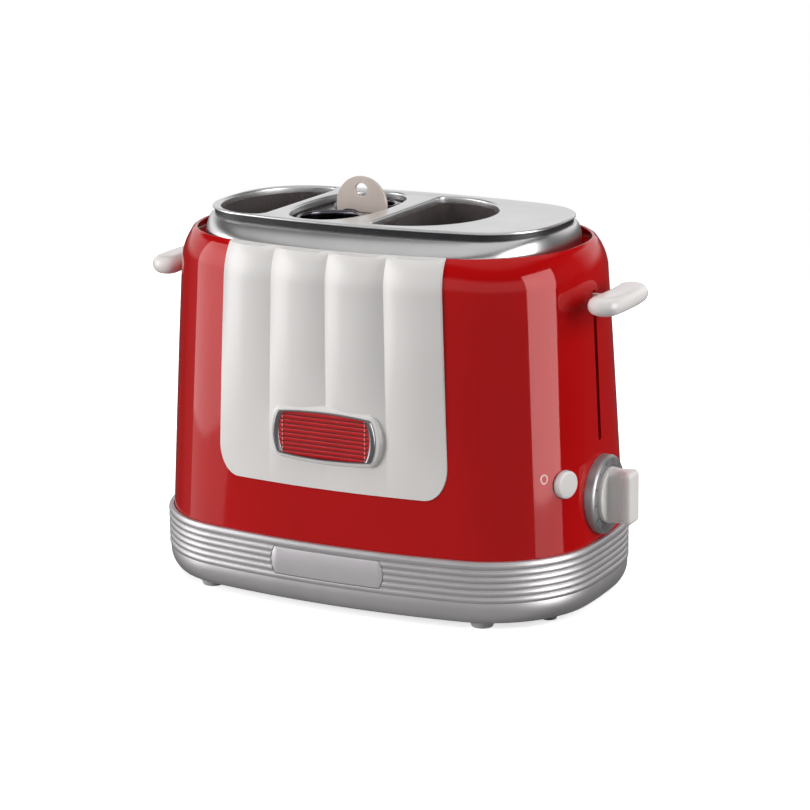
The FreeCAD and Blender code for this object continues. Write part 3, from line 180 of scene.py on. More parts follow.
class Surface:
    """Points in millimetres and the faces between them, gathered ring by ring."""

    def __init__(self):
        self.points, self.faces, self.flat = [], [], set()

    def ring(self, points):
        start = len(self.points)
        self.points.extend(points)
        return list(range(start, len(self.points)))

    def stack(self, rings, loop=False, closed=True):
        """Skin a list of rings; loop joins the last one back to the first."""
        made = [self.ring(points) for points in rings]
        for low, high in zip(made, made[1:] + (made[:1] if loop else [])):
            count = len(low)
            for i in range(count if closed else count - 1):
                j = (i + 1) % count
                self.faces.append((low[i], low[j], high[j], high[i]))
        return made

    def fill(self, loops):
        """Close the flat region between an outer loop and the holes in it."""
        flat = [index for ring in loops for index in ring]
        for face in tessellate_polygon([[Vector(self.points[i]) for i in ring] for ring in loops]):
            self.flat.add(len(self.faces))
            self.faces.append(tuple(flat[i] for i in face))

    def solid(self, rings):
        """Skin a list of rings and close both ends."""
        made = self.stack(rings)
        self.fill([made[0]])
        self.fill([made[-1]])

    def holed(self, edge, holes):
        """Skin an edge from below and holes from above, and close both faces between them."""
        made, walls = self.stack(edge), [self.stack(rings) for rings in holes]
        self.fill([made[-1]] + [wall[0] for wall in walls])
        self.fill([made[0]] + [wall[-1] for wall in walls])

    def piece(self, name, material, body, replaced=(), slot=None, sharp=32):
        """Make the object, give it its finish, hang it on its body, and hide the CAD nodes it replaces."""
        mesh = bpy.data.meshes.new(name)
        mesh.from_pydata([[c / 1000 for c in point] for point in self.points], [], self.faces)
        mesh.polygons.foreach_set("use_smooth", [i not in self.flat for i in range(len(self.faces))])
        work = bmesh.new()
        work.from_mesh(mesh)
        bmesh.ops.recalc_face_normals(work, faces=work.faces)
        work.to_mesh(mesh)
        work.free()
        mesh.set_sharp_from_angle(angle=math.radians(sharp))
        made = bpy.data.objects.new(name, mesh)
        bpy.context.scene.collection.objects.link(made)
        if material:
            mesh.materials.append(material)
        if body:
            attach(made, body)
        if replaced:
            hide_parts(*replaced)
        return made


def carve(made, tools, sharp=32):
    """Cut the tools out of a piece, and remove them."""
    for tool in tools:
        step = made.modifiers.new("carve", "BOOLEAN")
        step.operation, step.object, step.solver = "DIFFERENCE", tool, "EXACT"
    bpy.context.view_layer.update()
    mesh = bpy.data.meshes.new_from_object(made.evaluated_get(bpy.context.evaluated_depsgraph_get()))
    made.modifiers.clear()
    old, made.data = made.data, mesh
    mesh.name = made.name
    bpy.data.meshes.remove(old)
    mesh.set_sharp_from_angle(angle=math.radians(sharp))
    for tool in tools:
        bpy.data.objects.remove(tool)


def block(corners_low, corners_high):
    """A plain cutting block between two opposite corners."""
    (x0, y0, z0), (x1, y1, z1) = corners_low, corners_high
    tool = Surface()
    low, high = tool.stack([
        [(x0, y0, z0), (x1, y0, z0), (x1, y1, z0), (x0, y1, z0)],
        [(x0, y0, z1), (x1, y0, z1), (x1, y1, z1), (x0, y1, z1)],
    ])
    tool.faces += [tuple(low), tuple(high)]
    return tool.piece("tool", None, None)


def circle(x, y, radius, steps=64):
    """Points of a circle, anticlockwise."""
    angles = [math.tau * i / steps for i in range(steps)]
    return [(x + radius * math.cos(t), y + radius * math.sin(t)) for t in angles]


def cylinder(centre, axis, radius, length, steps=48):
    """A plain cutting cylinder from centre along axis."""
    axis = Vector(axis).normalized()
    side = axis.orthogonal().normalized()
    other = axis.cross(side)
    rings = []
    for reach in (0, length):
        middle = Vector(centre) + axis * reach
        rings.append([tuple(middle + side * a + other * b) for a, b in circle(0, 0, radius, steps)])
    tool = Surface()
    low, high = tool.stack(rings)
    tool.faces += [tuple(low), tuple(high)]
    return tool.piece("tool", None, None)


PLINTH_HALF_X, PLINTH_HALF_Y = 140.0, 88.5
PLINTH_FRONT_R, PLINTH_END_R, PLINTH_CORNER_R = 556.0, 328.0, 67.0
PLINTH_FOOT, BEAD_FOOT, BEAD_PITCH, BEADS, BEAD_DEPTH, PLINTH_TOP = 4.4, 17.15, 3.95, 5, 0.9, 41.5
PLINTH_WALL, SEAT_WALL, SEAT_DEPTH, SEAT_Z, SEAT_THICK = 3.2, 3.1, 7.2, 38.0, 2.0
# The section runs up the outside and down the inside: depth behind the bead crests, and height.
section = arc((4.8, PLINTH_FOOT), (1.5, 9.7), (BEAD_DEPTH, BEAD_FOOT), 10)
bead_edges = [BEAD_FOOT + BEAD_PITCH * i for i in range(BEADS + 1)] + [PLINTH_TOP]
for low, high in zip(bead_edges, bead_edges[1:]):
    section += arc((BEAD_DEPTH, low), (0.0, (low + high) / 2), (BEAD_DEPTH, high), 8)
section += [(BEAD_DEPTH, PLINTH_TOP), (1.3, PLINTH_TOP + 0.1), (3.0, PLINTH_TOP + 0.1)]
section += [(SEAT_WALL, PLINTH_TOP - 0.2), (SEAT_WALL, SEAT_Z), (SEAT_DEPTH, SEAT_Z)]
section += [(SEAT_DEPTH, SEAT_Z - SEAT_THICK), (PLINTH_WALL, 33.5), (PLINTH_WALL, 13.8), (6.9, PLINTH_FOOT)]
plinth_outline = oval(PLINTH_HALF_X, PLINTH_HALF_Y, PLINTH_FRONT_R, PLINTH_END_R, PLINTH_CORNER_R)
skin = Surface()
skin.stack([level(plinth_outline, depth, z) for depth, z in section], loop=True)
# Silver lacquer over ABS: 0.3 mm flakes, drawn twice as coarse as they are so that they show,
# break the highlight up a little without hiding the beads.
silver_lacquer = finish(
    "satin_silver_lacquer", "C2BFC1", "CAC7C9", 40, 0.6, (0.38, 0.46), 0.002, Metallic=0.75,
)
plinth = skin.piece("plinth_shell", silver_lacquer, "housing", ["plinth"], "silver_satin")


# Name plate: a bare strip of ABS with bowed ends, in a paler silver lacquer than the plinth's.
# It lies flush in a shallow recess across the beads and is clipped in from behind.

PLATE_HALF, PLATE_BOW, PLATE_LOW, PLATE_HIGH, PLATE_THICK = 34.3, 2.5, 20.6, 36.7, 1.7
PLATE_GAP, RECESS = 0.45, 1.5
STEPS_ALONG, STEPS_UP = 40, 14


def plate_ring(margin, proud):
    """Outline of the plate moved in by margin; proud stands out from the bead crests."""
    low, high = PLATE_LOW + margin, PLATE_HIGH - margin
    middle, half = (PLATE_LOW + PLATE_HIGH) / 2, (PLATE_HIGH - PLATE_LOW) / 2
    corners = [(2 * i / STEPS_ALONG - 1, low) for i in range(STEPS_ALONG + 1)]
    corners += [(1, low + (high - low) * i / STEPS_UP) for i in range(1, STEPS_UP)]
    corners += [(1 - 2 * i / STEPS_ALONG, high) for i in range(STEPS_ALONG + 1)]
    corners += [(-1, high - (high - low) * i / STEPS_UP) for i in range(1, STEPS_UP)]
    ring = []
    for across, z in corners:
        x = across * (PLATE_HALF - margin + PLATE_BOW * (1 - ((z - middle) / half) ** 2))
        y = PLINTH_FRONT_R - PLINTH_HALF_Y - math.sqrt((PLINTH_FRONT_R + proud) ** 2 - x ** 2)
        ring.append((x, y, z))
    return ring


def strip_of(rings, name, material, *told):
    """Skin the plate's outlines and close both curved faces."""
    strip = Surface()
    made = strip.stack([plate_ring(margin, proud) for margin, proud in rings])
    for face in (made[0], made[-1]):
        top = 2 * STEPS_ALONG + STEPS_UP
        for i in range(STEPS_ALONG):
            strip.faces.append((face[i], face[i + 1], face[top - 1 - i], face[top - i]))
        strip.faces.append(tuple(face[:1] + face[top:]))
        strip.faces.append(tuple(face[STEPS_ALONG:STEPS_ALONG + STEPS_UP + 1]))
    return strip.piece(name, material, *told)


# Cut in the plinth: the tray's mouth and the cord's hole at the rear, and the plate's recess.
TRAY_MOUTH_HALF, TRAY_MOUTH_LOW, TRAY_MOUTH_HIGH = 84.4, 8.4, 17.2
CORD_X, CORD_Z, CORD_HOLE = 92.0, 31.7, 4.5
REAR_CUT_FROM, REAR_CUT_TO = 60, 100
carve(plinth, [
    block((-TRAY_MOUTH_HALF, REAR_CUT_FROM, TRAY_MOUTH_LOW), (TRAY_MOUTH_HALF, REAR_CUT_TO, TRAY_MOUTH_HIGH)),
    cylinder((CORD_X, REAR_CUT_FROM, CORD_Z), (0, 1, 0), CORD_HOLE, REAR_CUT_TO - REAR_CUT_FROM),
    strip_of([(-PLATE_GAP, -RECESS), (-PLATE_GAP, 3.0)], "tool", None, None),
])
# The same lacquer as the plinth but a smoother, paler coat, so it mirrors more of the room.
plate_lacquer = finish(
    "pale_silver_lacquer", "D0CCCF", "D7D3D6", 40, 0.5, (0.3, 0.38), 0.002, Metallic=0.6,
)
strip_of(
    [(0.0, -PLATE_THICK), (0.0, -0.45), (0.12, -0.2), (0.4, -0.1)],
    "bare_plate", plate_lacquer, "housing", ["name_plate"], "silver_satin",
)


# Red body shell: one moulding in high-gloss red ABS, open below.
# It tapers up to a round shoulder and a thin rolled rim with a moat inside it, where the steel
# cover stands; each end has a slot for a lever, and the right end has holes for dial and button.

RIM_Z, RIM_THICK, SHOULDER, SHOULDER_DROP = 212.0, 2.0, 19.0, 5.7
BODY_FOOT, BODY_WALL, LEDGE_Z, LEDGE_THICK, LEDGE_WIDTH = SEAT_Z, 2.2, 206.0, 2.0, 2.8
BODY_HALF_X, BODY_HALF_Y, BODY_CORNER_R = 136.5, 85.0, 63.5
BODY_TAPER_X, BODY_TAPER_Y = 0.048, 0.0235
# Radii of the front and of the ends, each at the plinth's top and at the rim.
BODY_FRONT_R, BODY_END_R = (552.5, 312.0), (324.5, 105.0)


def body_sizes(z):
    """Half length, half width and the three radii of the body at height z."""
    height = min(z, RIM_Z) - PLINTH_TOP
    share = height / (RIM_Z - PLINTH_TOP)
    over = min(z, RIM_Z) - (RIM_Z - SHOULDER)
    radius = (SHOULDER ** 2 + SHOULDER_DROP ** 2) / (2 * SHOULDER_DROP)
    drop = radius - math.sqrt(radius ** 2 - over ** 2) if over > 0 else 0.0
    return (
        BODY_HALF_X - BODY_TAPER_X * height - drop,
        BODY_HALF_Y - BODY_TAPER_Y * height - drop,
        BODY_FRONT_R[0] + (BODY_FRONT_R[1] - BODY_FRONT_R[0]) * share,
        BODY_END_R[0] + (BODY_END_R[1] - BODY_END_R[0]) * share,
        BODY_CORNER_R,
    )


def body_level(z, depth):
    return level(oval(*body_sizes(z)), depth, z)


# The cover stands this far inside the rim, and its corners are this much less than half its width.
COVER_IN_X, COVER_IN_Y, COVER_CORNER_IN, COVER_FRONT_R, COVER_END_R = 9.8, 2.3, 15.0, 330.0, 130.0
rim_half_x, rim_half_y = body_sizes(RIM_Z)[:2]
cover_half_x, cover_half_y = rim_half_x - COVER_IN_X, rim_half_y - COVER_IN_Y
cover_corner_r = cover_half_y - COVER_CORNER_IN
cover_outline = oval(cover_half_x, cover_half_y, COVER_FRONT_R, COVER_END_R, cover_corner_r)

shell = Surface()
shoulder_z = RIM_Z - SHOULDER
straight = [BODY_FOOT + (shoulder_z - BODY_FOOT) * i / 9 for i in range(9)]
curved = [shoulder_z + (SHOULDER - 1.0) * i / 10 for i in range(11)]
outside = [body_level(z, 0.0) for z in straight + curved]
rim_outline = oval(*body_sizes(RIM_Z))
rim = [
    level(rim_outline, 1 - math.cos(t), RIM_Z - 1 + math.sin(t))
    for t in (0.5, 0.9, 1.3, 1.57, 1.9, 2.3, 2.7)
]
inside = [body_level(z, RIM_THICK) for z in (RIM_Z - 1, RIM_Z - 3, LEDGE_Z + 0.6)]
inside.append(body_level(LEDGE_Z, RIM_THICK + 0.6))
ledge = [level(cover_outline, LEDGE_WIDTH, z) for z in (LEDGE_Z, LEDGE_Z - LEDGE_THICK)]
cavity_heights = (LEDGE_Z - LEDGE_THICK, shoulder_z, 150.0, 100.0, 60.0, BODY_FOOT)
cavity = [body_level(z, BODY_WALL) for z in cavity_heights]
shell.stack(outside + rim + inside + ledge + cavity, loop=True)
# Polished mould, so the skin is almost a mirror: only a 4 mm orange peel of a micron or two.
red_abs = finish(
    "red_gloss_abs", "AC0A0C", "B20C0E", 90, 4.0, (0.04, 0.07), 0.0015,
    **{"IOR": 1.5, "Specular Tint": colour("FFC4C4")},
)
body = shell.piece("red_shell", red_abs, "housing", ["body_shell"], "red_gloss")

# Cut in its ends: a round-ended slot for each lever, and holes for the dial and the button.
LEVER_SLOT_HALF, LEVER_SLOT_LOW, LEVER_SLOT_HIGH = 1.9, 98.5, 186.5
LEVER_CUT_FROM, LEVER_CUT_TO = 113.8, 140.0
DIAL_Z, DIAL_FACE, DIAL_HOLE, DIAL_CUT = 66.5, 140.0, 23.4, 27.4
BUTTON_TURN, BUTTON_HOLE, BUTTON_CUT = math.radians(20), 8.5, 24
BUTTON_AXIS = Vector((math.cos(BUTTON_TURN), -math.sin(BUTTON_TURN), 0))
BUTTON_SEAT = Vector((129.4, -38.6, 81.4))
tools = []
slot_ends = (LEVER_SLOT_LOW + LEVER_SLOT_HALF, LEVER_SLOT_HIGH - LEVER_SLOT_HALF)
for side in (1, -1):
    x0, x1 = sorted((side * LEVER_CUT_FROM, side * LEVER_CUT_TO))
    tools.append(block((x0, -LEVER_SLOT_HALF, slot_ends[0]), (x1, LEVER_SLOT_HALF, slot_ends[1])))
    for z in slot_ends:
        tools.append(cylinder((x0, 0, z), (1, 0, 0), LEVER_SLOT_HALF, x1 - x0, 24))
tools.append(cylinder((DIAL_FACE - DIAL_CUT, 0, DIAL_Z), (1, 0, 0), DIAL_HOLE, DIAL_CUT, 96))
tools.append(cylinder(BUTTON_SEAT - BUTTON_AXIS * (BUTTON_CUT / 2), BUTTON_AXIS, BUTTON_HOLE, BUTTON_CUT, 64))
carve(body, tools)


# Front panel: white ABS moulding let into the front of the shell.
# Four convex flutes swell out of a plain lower band and run up over the shoulder to the rim;
# a barrel-shaped boss at their foot carries the badge.

PANEL_FOOT, PANEL_CORNER, CORNER_NARROWING, PANEL_EDGE, PANEL_PROUD = 74.5, 20.0, 0.7, 2.5, 0.6
PANEL_FOOT_HALF, PANEL_RIM_HALF = 77.9, 72.0
FLUTES, FLUTE_START, FLUTE_FULL, FLUTE_DEPTH, FLUTE_LEAST = 4, 62.0, 180.0, 4.8, 0.03


def panel_half(z):
    share = (z - PANEL_FOOT) / (RIM_Z - PANEL_FOOT)
    return PANEL_FOOT_HALF + (PANEL_RIM_HALF - PANEL_FOOT_HALF) * share


def front_y(x, z, proud):
    sizes = body_sizes(z)
    return sizes[2] - sizes[1] - math.sqrt((sizes[2] + proud) ** 2 - x ** 2)


def flute_rise(x, z):
    """How far the flute at x stands out: it swells smoothly with height and is round across."""
    share = min(1.0, max(FLUTE_LEAST, (z - FLUTE_START) / (FLUTE_FULL - FLUTE_START)))
    half = panel_half(z) / FLUTES
    across = (x + FLUTES * half) % (2 * half) / half - 1
    return FLUTE_DEPTH * share * share * (3 - 2 * share) * (1 - across * across)


def panel_reach(z):
    """Half width of the panel's outline at height z, with its round lower corners."""
    below = max(0.0, PANEL_CORNER - (z - PANEL_FOOT))
    round_off = PANEL_CORNER - math.sqrt(PANEL_CORNER ** 2 - below ** 2)
    return panel_half(z) - PANEL_EDGE - CORNER_NARROWING * round_off


# Rows up the panel: round the lower corners, up the swelling flutes, and over the shoulder.
BAND_TOP, PANEL_ROUND = 97.0, 0.35
heights = [PANEL_FOOT + PANEL_CORNER * (1 - math.cos(math.pi / 2 * i / 14)) for i in range(15)]
heights += [BAND_TOP + (FLUTE_FULL - BAND_TOP) * i / 16 for i in range(1, 17)]
heights += [FLUTE_FULL + (shoulder_z - FLUTE_FULL) * i / 8 for i in range(1, 9)]
heights += [shoulder_z + (SHOULDER - 0.3) * i / 12 for i in range(1, 13)]
spread = [math.sin(math.pi / 2 * (i / 8 - 1)) for i in range(16)]
across_all = [(2 * flute + 1 + s) / FLUTES - 1 for flute in range(FLUTES) for s in spread] + [1.0]
# Each side edge goes straight back into the body: how far in from the outline, and how proud.
panel_side = ((0, -1.0), (0, 0.3), (0.12, 0.52))
rows = []
for z in heights:
    reach = panel_reach(z)
    points = []
    for t in across_all:
        x = max(-reach + PANEL_ROUND, min(reach - PANEL_ROUND, t * panel_half(z)))
        points.append((x, front_y(x, z, PANEL_PROUD + flute_rise(x, z)), z))
    left = [(-reach + inward, front_y(reach, z, proud), z) for inward, proud in panel_side]
    right = [(-x, y, z) for x, y, z in reversed(left)]
    rows.append(left + points + right)
# At the top the panel hooks over the rim: proud of the body, and height above the rim.
over_rim = [(-0.1, 0.15), (-0.6, 0.4), (-1.4, 0.4), (-2.05, 0.1), (-2.2, -0.6), (-2.2, -4.0)]
for proud, above in over_rim:
    rows.append([(x, front_y(x, RIM_Z, proud), RIM_Z + above) for x, _, _ in rows[-1]])
foot = [
    [(x, front_y(x, PANEL_FOOT, proud), PANEL_FOOT - 0.05) for x, _, _ in rows[0]]
    for proud in (-1.0, 0.3)
]
panel = Surface()
panel.stack(foot + rows, closed=False)
# Glossy white ABS with a faint 5 mm orange peel; it is a little warm, and never quite white.
white_abs = finish(
    "white_gloss_abs", "D9D6D4", "DEDBD9", 80, 5.0, (0.2, 0.27), 0.003, IOR=1.5,
)
panel.piece("fluted_panel", white_abs, "housing", ["front_panel"], "white_gloss", sharp=50)


# Badge: a barrel-shaped chromed bezel with a ribbed red acrylic inlay, on a boss of the panel's
# white moulding. Bezel and inlay snap into the boss; dark lines painted between the ribs stand in for
# the shade in their grooves, and there is a column of dashes near each end. It bears no words.

BADGE_Z, BADGE_HALF, BADGE_END, BADGE_MID, BADGE_BOW = 106.5, 33.5, 12.7, 14.2, 2.2
FRAME_WIDE, FRAME_NARROW, BADGE_CORNER, INLAY_CORNER = 4.0, 1.0, 2.6, 1.0
BOSS_CORNER, BOSS_LESS_HIGH = 3.6, 0.6
LEAN = math.atan(BODY_TAPER_Y)


def barrel(across, up, corner, steps=20):
    """Barrel outline grown across and up, with round corners, in the plane of the badge."""
    end, mid = BADGE_END + up - corner, BADGE_MID + up - corner
    side, tip = BADGE_HALF - BADGE_BOW + across - corner, BADGE_HALF + across - corner
    ends = [(side, -end), (side, end), (-side, end), (-side, -end)]
    mids = [(tip, 0), (0, mid), (-tip, 0), (0, -mid)]
    edges = [circle_through(ends[i], mids[i], ends[(i + 1) % 4]) for i in range(4)]
    outline = []
    for i, (ox, oy, radius, start, sweep) in enumerate(edges):
        for j in range(steps + 1):
            t = start + sweep * j / steps
            outline.append((ox + (radius + corner) * math.cos(t), oy + (radius + corner) * math.sin(t)))
        x, z = ends[(i + 1) % 4]
        turn = (edges[(i + 1) % 4][3] - start - sweep) % math.tau
        for j in range(1, 8):
            t = start + sweep + turn * j / 8
            outline.append((x + corner * math.cos(t), z + corner * math.sin(t)))
    return outline


def on_badge(x, z, out):
    """Point of the badge, standing out from the body's surface."""
    y = -body_sizes(BADGE_Z)[1] - out * math.cos(LEAN) + z * math.sin(LEAN)
    return (x, y, BADGE_Z + out * math.sin(LEAN) + z * math.cos(LEAN))


def barrel_ring(across, up, corner, out):
    return [on_badge(x, z, out) for x, z in barrel(across, up, corner)]


# Each ring of the boss: how far it grows past the bezel, and how far it stands out.
boss_rings = [
    (3.6, -3.0), (3.6, 0.2), (3.4, 1.2), (3.0, 2.0), (2.4, 2.6), (1.6, 2.95), (0.8, 3.05), (-0.8, 3.05),
]
boss = Surface()
boss.solid([
    barrel_ring(grow, grow - BOSS_LESS_HIGH, BOSS_CORNER + grow, out) for grow, out in boss_rings
])
boss.piece("badge_boss", white_abs, "housing", slot="white_gloss", sharp=60)

# Each ring of the bezel: share of the way across the frame, and how far it stands out.
bezel_rings = [
    (0.0, 1.3), (0.0, 3.5), (0.06, 3.95), (0.18, 4.4), (0.38, 4.65), (0.6, 4.6), (0.8, 4.25),
    (0.95, 3.8), (1.0, 3.4), (1.0, 1.3),
]
bezel = Surface()
bezel.stack([
    barrel_ring(
        -FRAME_WIDE * share, -FRAME_NARROW * share, BADGE_CORNER + (INLAY_CORNER - BADGE_CORNER) * share, out,
    )
    for share, out in bezel_rings
], loop=True)
# Vacuum-metallised chrome, smooth to the eye; its colour is painted darker than bright chrome, as shade for
# the dark it mirrors.
chrome_painted_dark = finish("bezel_chrome_painted_dark", "8A888B", "929093", 15, 1.5, (0.16, 0.22), 0.0005, Metallic=1.0)
bezel.piece("badge_frame", chrome_painted_dark, "housing", ["badge_bezel"], "bezel_chrome", sharp=60)

INLAY_HALF, INLAY_OUT, RIBS, RIB_STEPS, RIB_RISE = BADGE_HALF - FRAME_WIDE, 3.2, 10, 6, 0.35
half_tall, end = BADGE_MID - FRAME_NARROW, BADGE_END - FRAME_NARROW
flank = INLAY_HALF - BADGE_BOW
rows = []
for i in range(RIBS * RIB_STEPS + 1):
    # A hair less than the full height, so that the first and last rows keep some width.
    z = half_tall * (2 * i / (RIBS * RIB_STEPS) - 1) * 0.999
    if abs(z) <= end:
        reach = flank + BADGE_BOW * (1 - (z / end) ** 2)
    else:
        reach = flank * math.sqrt(max(0.0, 1 - (abs(z) - end) / (half_tall - end)))
    out = INLAY_OUT + RIB_RISE * math.sin(math.pi * (i % RIB_STEPS) / RIB_STEPS)
    rows.append([on_badge(reach * (j / 16 - 1), z, out) for j in range(33)])
inlay = Surface()
inlay.stack(rows, closed=False)
# Translucent red acrylic over a dark back; the ribs are polished and catch thin lights.
red_acrylic = finish("ribbed_red_acrylic", "AE0C14", "B81018", 12, 1.0, (0.12, 0.2), 0.0008, IOR=1.49)
inlay.piece("badge_ribs", red_acrylic, "housing", ["badge_inlay"], "inlay_red", sharp=60)


VALLEY_HALF_X, VALLEY_HALF_Z, VALLEY_OUT = INLAY_HALF - 1.2, 0.38, (INLAY_OUT - 0.2, INLAY_OUT + 0.16)
DASH_X, DASH_HALF_X, DASH_HALF_Z, DASH_OUT = INLAY_HALF - 2.6, 0.35, 0.8, (INLAY_OUT + 0.4, INLAY_OUT + 0.66)


def badge_bar(skin, x, half_x, z, half_z, outs):
    """Add a thin printed bar to skin, between two heights above the body."""
    corners = ((-1, -1), (1, -1), (1, 1), (-1, 1))
    skin.solid([[on_badge(x + half_x * a, z + half_z * b, out) for a, b in corners] for out in outs])


# Dark bars between the ribs: painted shade for their grooves.
valleys = Surface()
for i in range(1, RIBS):
    badge_bar(valleys, 0, VALLEY_HALF_X, half_tall * (2 * i / RIBS - 1), VALLEY_HALF_Z, VALLEY_OUT)
# Painted shade: dull dark red bars between the ribs stand in for the shade in their grooves, so that the ribs
# read as separate bars.
groove_shade_paint = finish("painted_groove_shade", "5A0609", "62080B", 3, 0.3, (0.4, 0.5), 0.002)
valleys.piece("badge_groove_shade", groove_shade_paint, "housing", slot="inlay_red")

dashes = Surface()
for i in range(RIBS):
    for x in (-DASH_X, DASH_X):
        badge_bar(dashes, x, DASH_HALF_X, half_tall * (2 * (i + 0.5) / RIBS - 1), DASH_HALF_Z, DASH_OUT)
# Pale ink with the red shining through it, so the dashes look pink.
# Pale pink, a column of dashes near each end of the inlay.
pale_pink = finish("pale_pink_dashes", "D4807E", "DA8A88", 3, 0.3, (0.4, 0.5), 0.002)
dashes.piece("badge_dashes", pale_pink, "housing", slot="inlay_red")


# Steel cover: two pressings in stainless steel. The skirt stands in the shell's moat and flares
# in, ever flatter, to a crease; the slot plate lies over it, on a black ring that is painted shade
# for the dark line under its edge. Its edge and its three slots are rounded over, and the slots
# have thin lips that the chutes hang from.

PLATE_IN_X, PLATE_IN_Y, PLATE_CORNER_IN, PLATE_FRONT_R, PLATE_END_R = 2.8, 17.5, 16.5, 480.0, 150.0
PLATE_Z, CREASE_Z, FLARE_Z, SKIRT_TOP, SKIRT_WALL = 224.3, 219.9, 211.5, 210.5, 1.2
FLARE_STEPS, FLARE_LEAN, FLARE_TURN, FLARE_POWER = 28, 27, 56, 0.62
plate_half_x, plate_half_y = cover_half_x - PLATE_IN_X, cover_half_y - PLATE_IN_Y
plate_corner_r = plate_half_y - PLATE_CORNER_IN
plate_outline = oval(plate_half_x, plate_half_y, PLATE_FRONT_R, PLATE_END_R, plate_corner_r)


def between(share, z):
    """Flare outline part of the way from the skirt to the plate."""
    return [
        (a[0] + (b[0] - a[0]) * share, a[1] + (b[1] - a[1]) * share, z)
        for a, b in zip(cover_outline, plate_outline)
    ]


rings = [level(cover_outline, 0.0, z) for z in (LEDGE_Z, 208.5, SKIRT_TOP)]
# The flare leans out of its foot at once and rolls over, ever flatter, up to the crease.
run, rise = [0.0], [0.0]
for i in range(FLARE_STEPS):
    lean = math.radians(FLARE_LEAN + FLARE_TURN * ((i + 0.5) / FLARE_STEPS) ** FLARE_POWER)
    run.append(run[-1] + math.sin(lean))
    rise.append(rise[-1] + math.cos(lean))
for x, z in zip(run, rise):
    rings.append(between(x / run[-1], FLARE_Z + (CREASE_Z - FLARE_Z) * z / rise[-1]))
rings.append(level(plate_outline, 2.3, CREASE_Z))
rings.append(level(cover_outline, SKIRT_WALL + 0.4, SKIRT_TOP))
rings.append(level(cover_outline, SKIRT_WALL, LEDGE_Z))
skirt = Surface()
skirt.stack(rings, loop=True)
# Satin stainless, a little darker in tone than the plate's steel: painted shade for the darker look of the
# flare. The grain is drawn as coarse as 0.8 mm, so that the fine sparkle shows.
skirt_steel_painted_darker = finish("stainless_painted_darker", "DDDCDC", "E6E5E5", 30, 0.8, (0.28, 0.32), 0.0002, Metallic=1.0)
skirt.piece("cover_skirt", skirt_steel_painted_darker, "housing", ["top_cover"], "cover_steel", sharp=50)

# Flat side and far side of each bun slot; a small share of its width lies between its round
# corners and its ellipse.
LEFT_SLOT, RIGHT_SLOT = (-61.316, -107.016), (9.384, 64.684)
SLOT_HALF_Y, SLOT_CORNER, SLOT_STRAIGHT = 48.0, 7.0, 0.05
MIDDLE_X, MIDDLE_Y, MIDDLE_HALF_X, MIDDLE_HALF_Y, MIDDLE_POWER = -28.3, -1.0, 26.2, 48.3, 2.4


def bun_slot(slot, grow):
    """D-shaped slot: half an ellipse on one side, a flat with small round corners on the other."""
    flat_x, bulge_x = slot
    side = 1 if bulge_x > flat_x else -1
    flat, far = flat_x - side * grow, bulge_x + side * grow
    half, radius = SLOT_HALF_Y + grow, SLOT_CORNER + grow
    start = flat + side * radius
    middle = start + side * SLOT_STRAIGHT * abs(bulge_x - flat_x)
    outline = []
    for i in range(61):
        t = math.pi * (i / 60 - 0.5)
        outline.append((middle + (far - middle) * math.cos(t), half * math.sin(t)))
    quarter = [math.pi / 2 * i / 12 for i in range(13)]
    for sy, angles in ((1, quarter), (-1, quarter[::-1])):
        for t in angles:
            outline.append((start - side * radius * math.sin(t), sy * (half - radius + radius * math.cos(t))))
    return outline


def middle_slot(grow):
    """Long oval, fuller than an ellipse."""
    outline = []
    for i in range(96):
        c, d = math.cos(math.tau * i / 96), math.sin(math.tau * i / 96)
        reach = (abs(c) ** MIDDLE_POWER + abs(d) ** MIDDLE_POWER) ** (-1 / MIDDLE_POWER)
        x, y = (MIDDLE_HALF_X + grow) * c * reach, (MIDDLE_HALF_Y + grow) * d * reach
        outline.append((MIDDLE_X + x, MIDDLE_Y + y))
    return outline


SLOTS = {
    "left": lambda grow: bun_slot(LEFT_SLOT, grow),
    "middle": middle_slot,
    "right": lambda grow: bun_slot(RIGHT_SLOT, grow),
}


def lift(outline, z):
    return [(x, y, z) for x, y in outline]


UNDERSIDE, LIP_FOOT, LIP_THICK, SLOT_ROUND = 223.1, 220.4, 0.5, 1.2
# Section of the rounded edge: how far in from the outline, and height.
edge_section = [(2.2, UNDERSIDE), (2.1, 222.8), (0.6, 222.75), (0.1, 222.9)]
edge_section += arc((-0.1, 223.15), (0.08, 223.95), (0.9, PLATE_Z), 8) + [(0.9, PLATE_Z)]
# Section of a slot's rounded mouth and its lip: how far the slot grows, and height.
lip_section = [
    (SLOT_ROUND * (1 - math.sin(t)), PLATE_Z - SLOT_ROUND * (1 - math.cos(t)))
    for t in (math.pi / 2 * i / 6 for i in range(7))
]
lip_section += [(0.0, LIP_FOOT), (LIP_THICK, LIP_FOOT), (LIP_THICK, UNDERSIDE)]
lid = Surface()
lid.holed(
    [level(plate_outline, inward, z) for inward, z in edge_section],
    [[lift(outline(grow), z) for grow, z in lip_section] for outline in SLOTS.values()],
)
# Brushed steel: its tone hardly changes and its relief is finer than the skirt's, so the flat
# plate mirrors the room as one even grey.
brushed_steel = finish("brushed_stainless", "E4E4E4", "ECECEC", 30, 0.8, (0.28, 0.295), 0.0001, Metallic=0.95)
lid.piece("slot_plate_steel", brushed_steel, "housing", ["slot_plate"], "cover_steel", sharp=50)

# A black ring under the plate's edge: painted shade for the dark line there.
shade_ring_section = ((1.0, 219.7), (1.0, 222.85), (1.9, 222.85), (1.9, 219.7))
shade_ring = Surface()
shade_ring.stack([level(plate_outline, inward, z) for inward, z in shade_ring_section], loop=True)
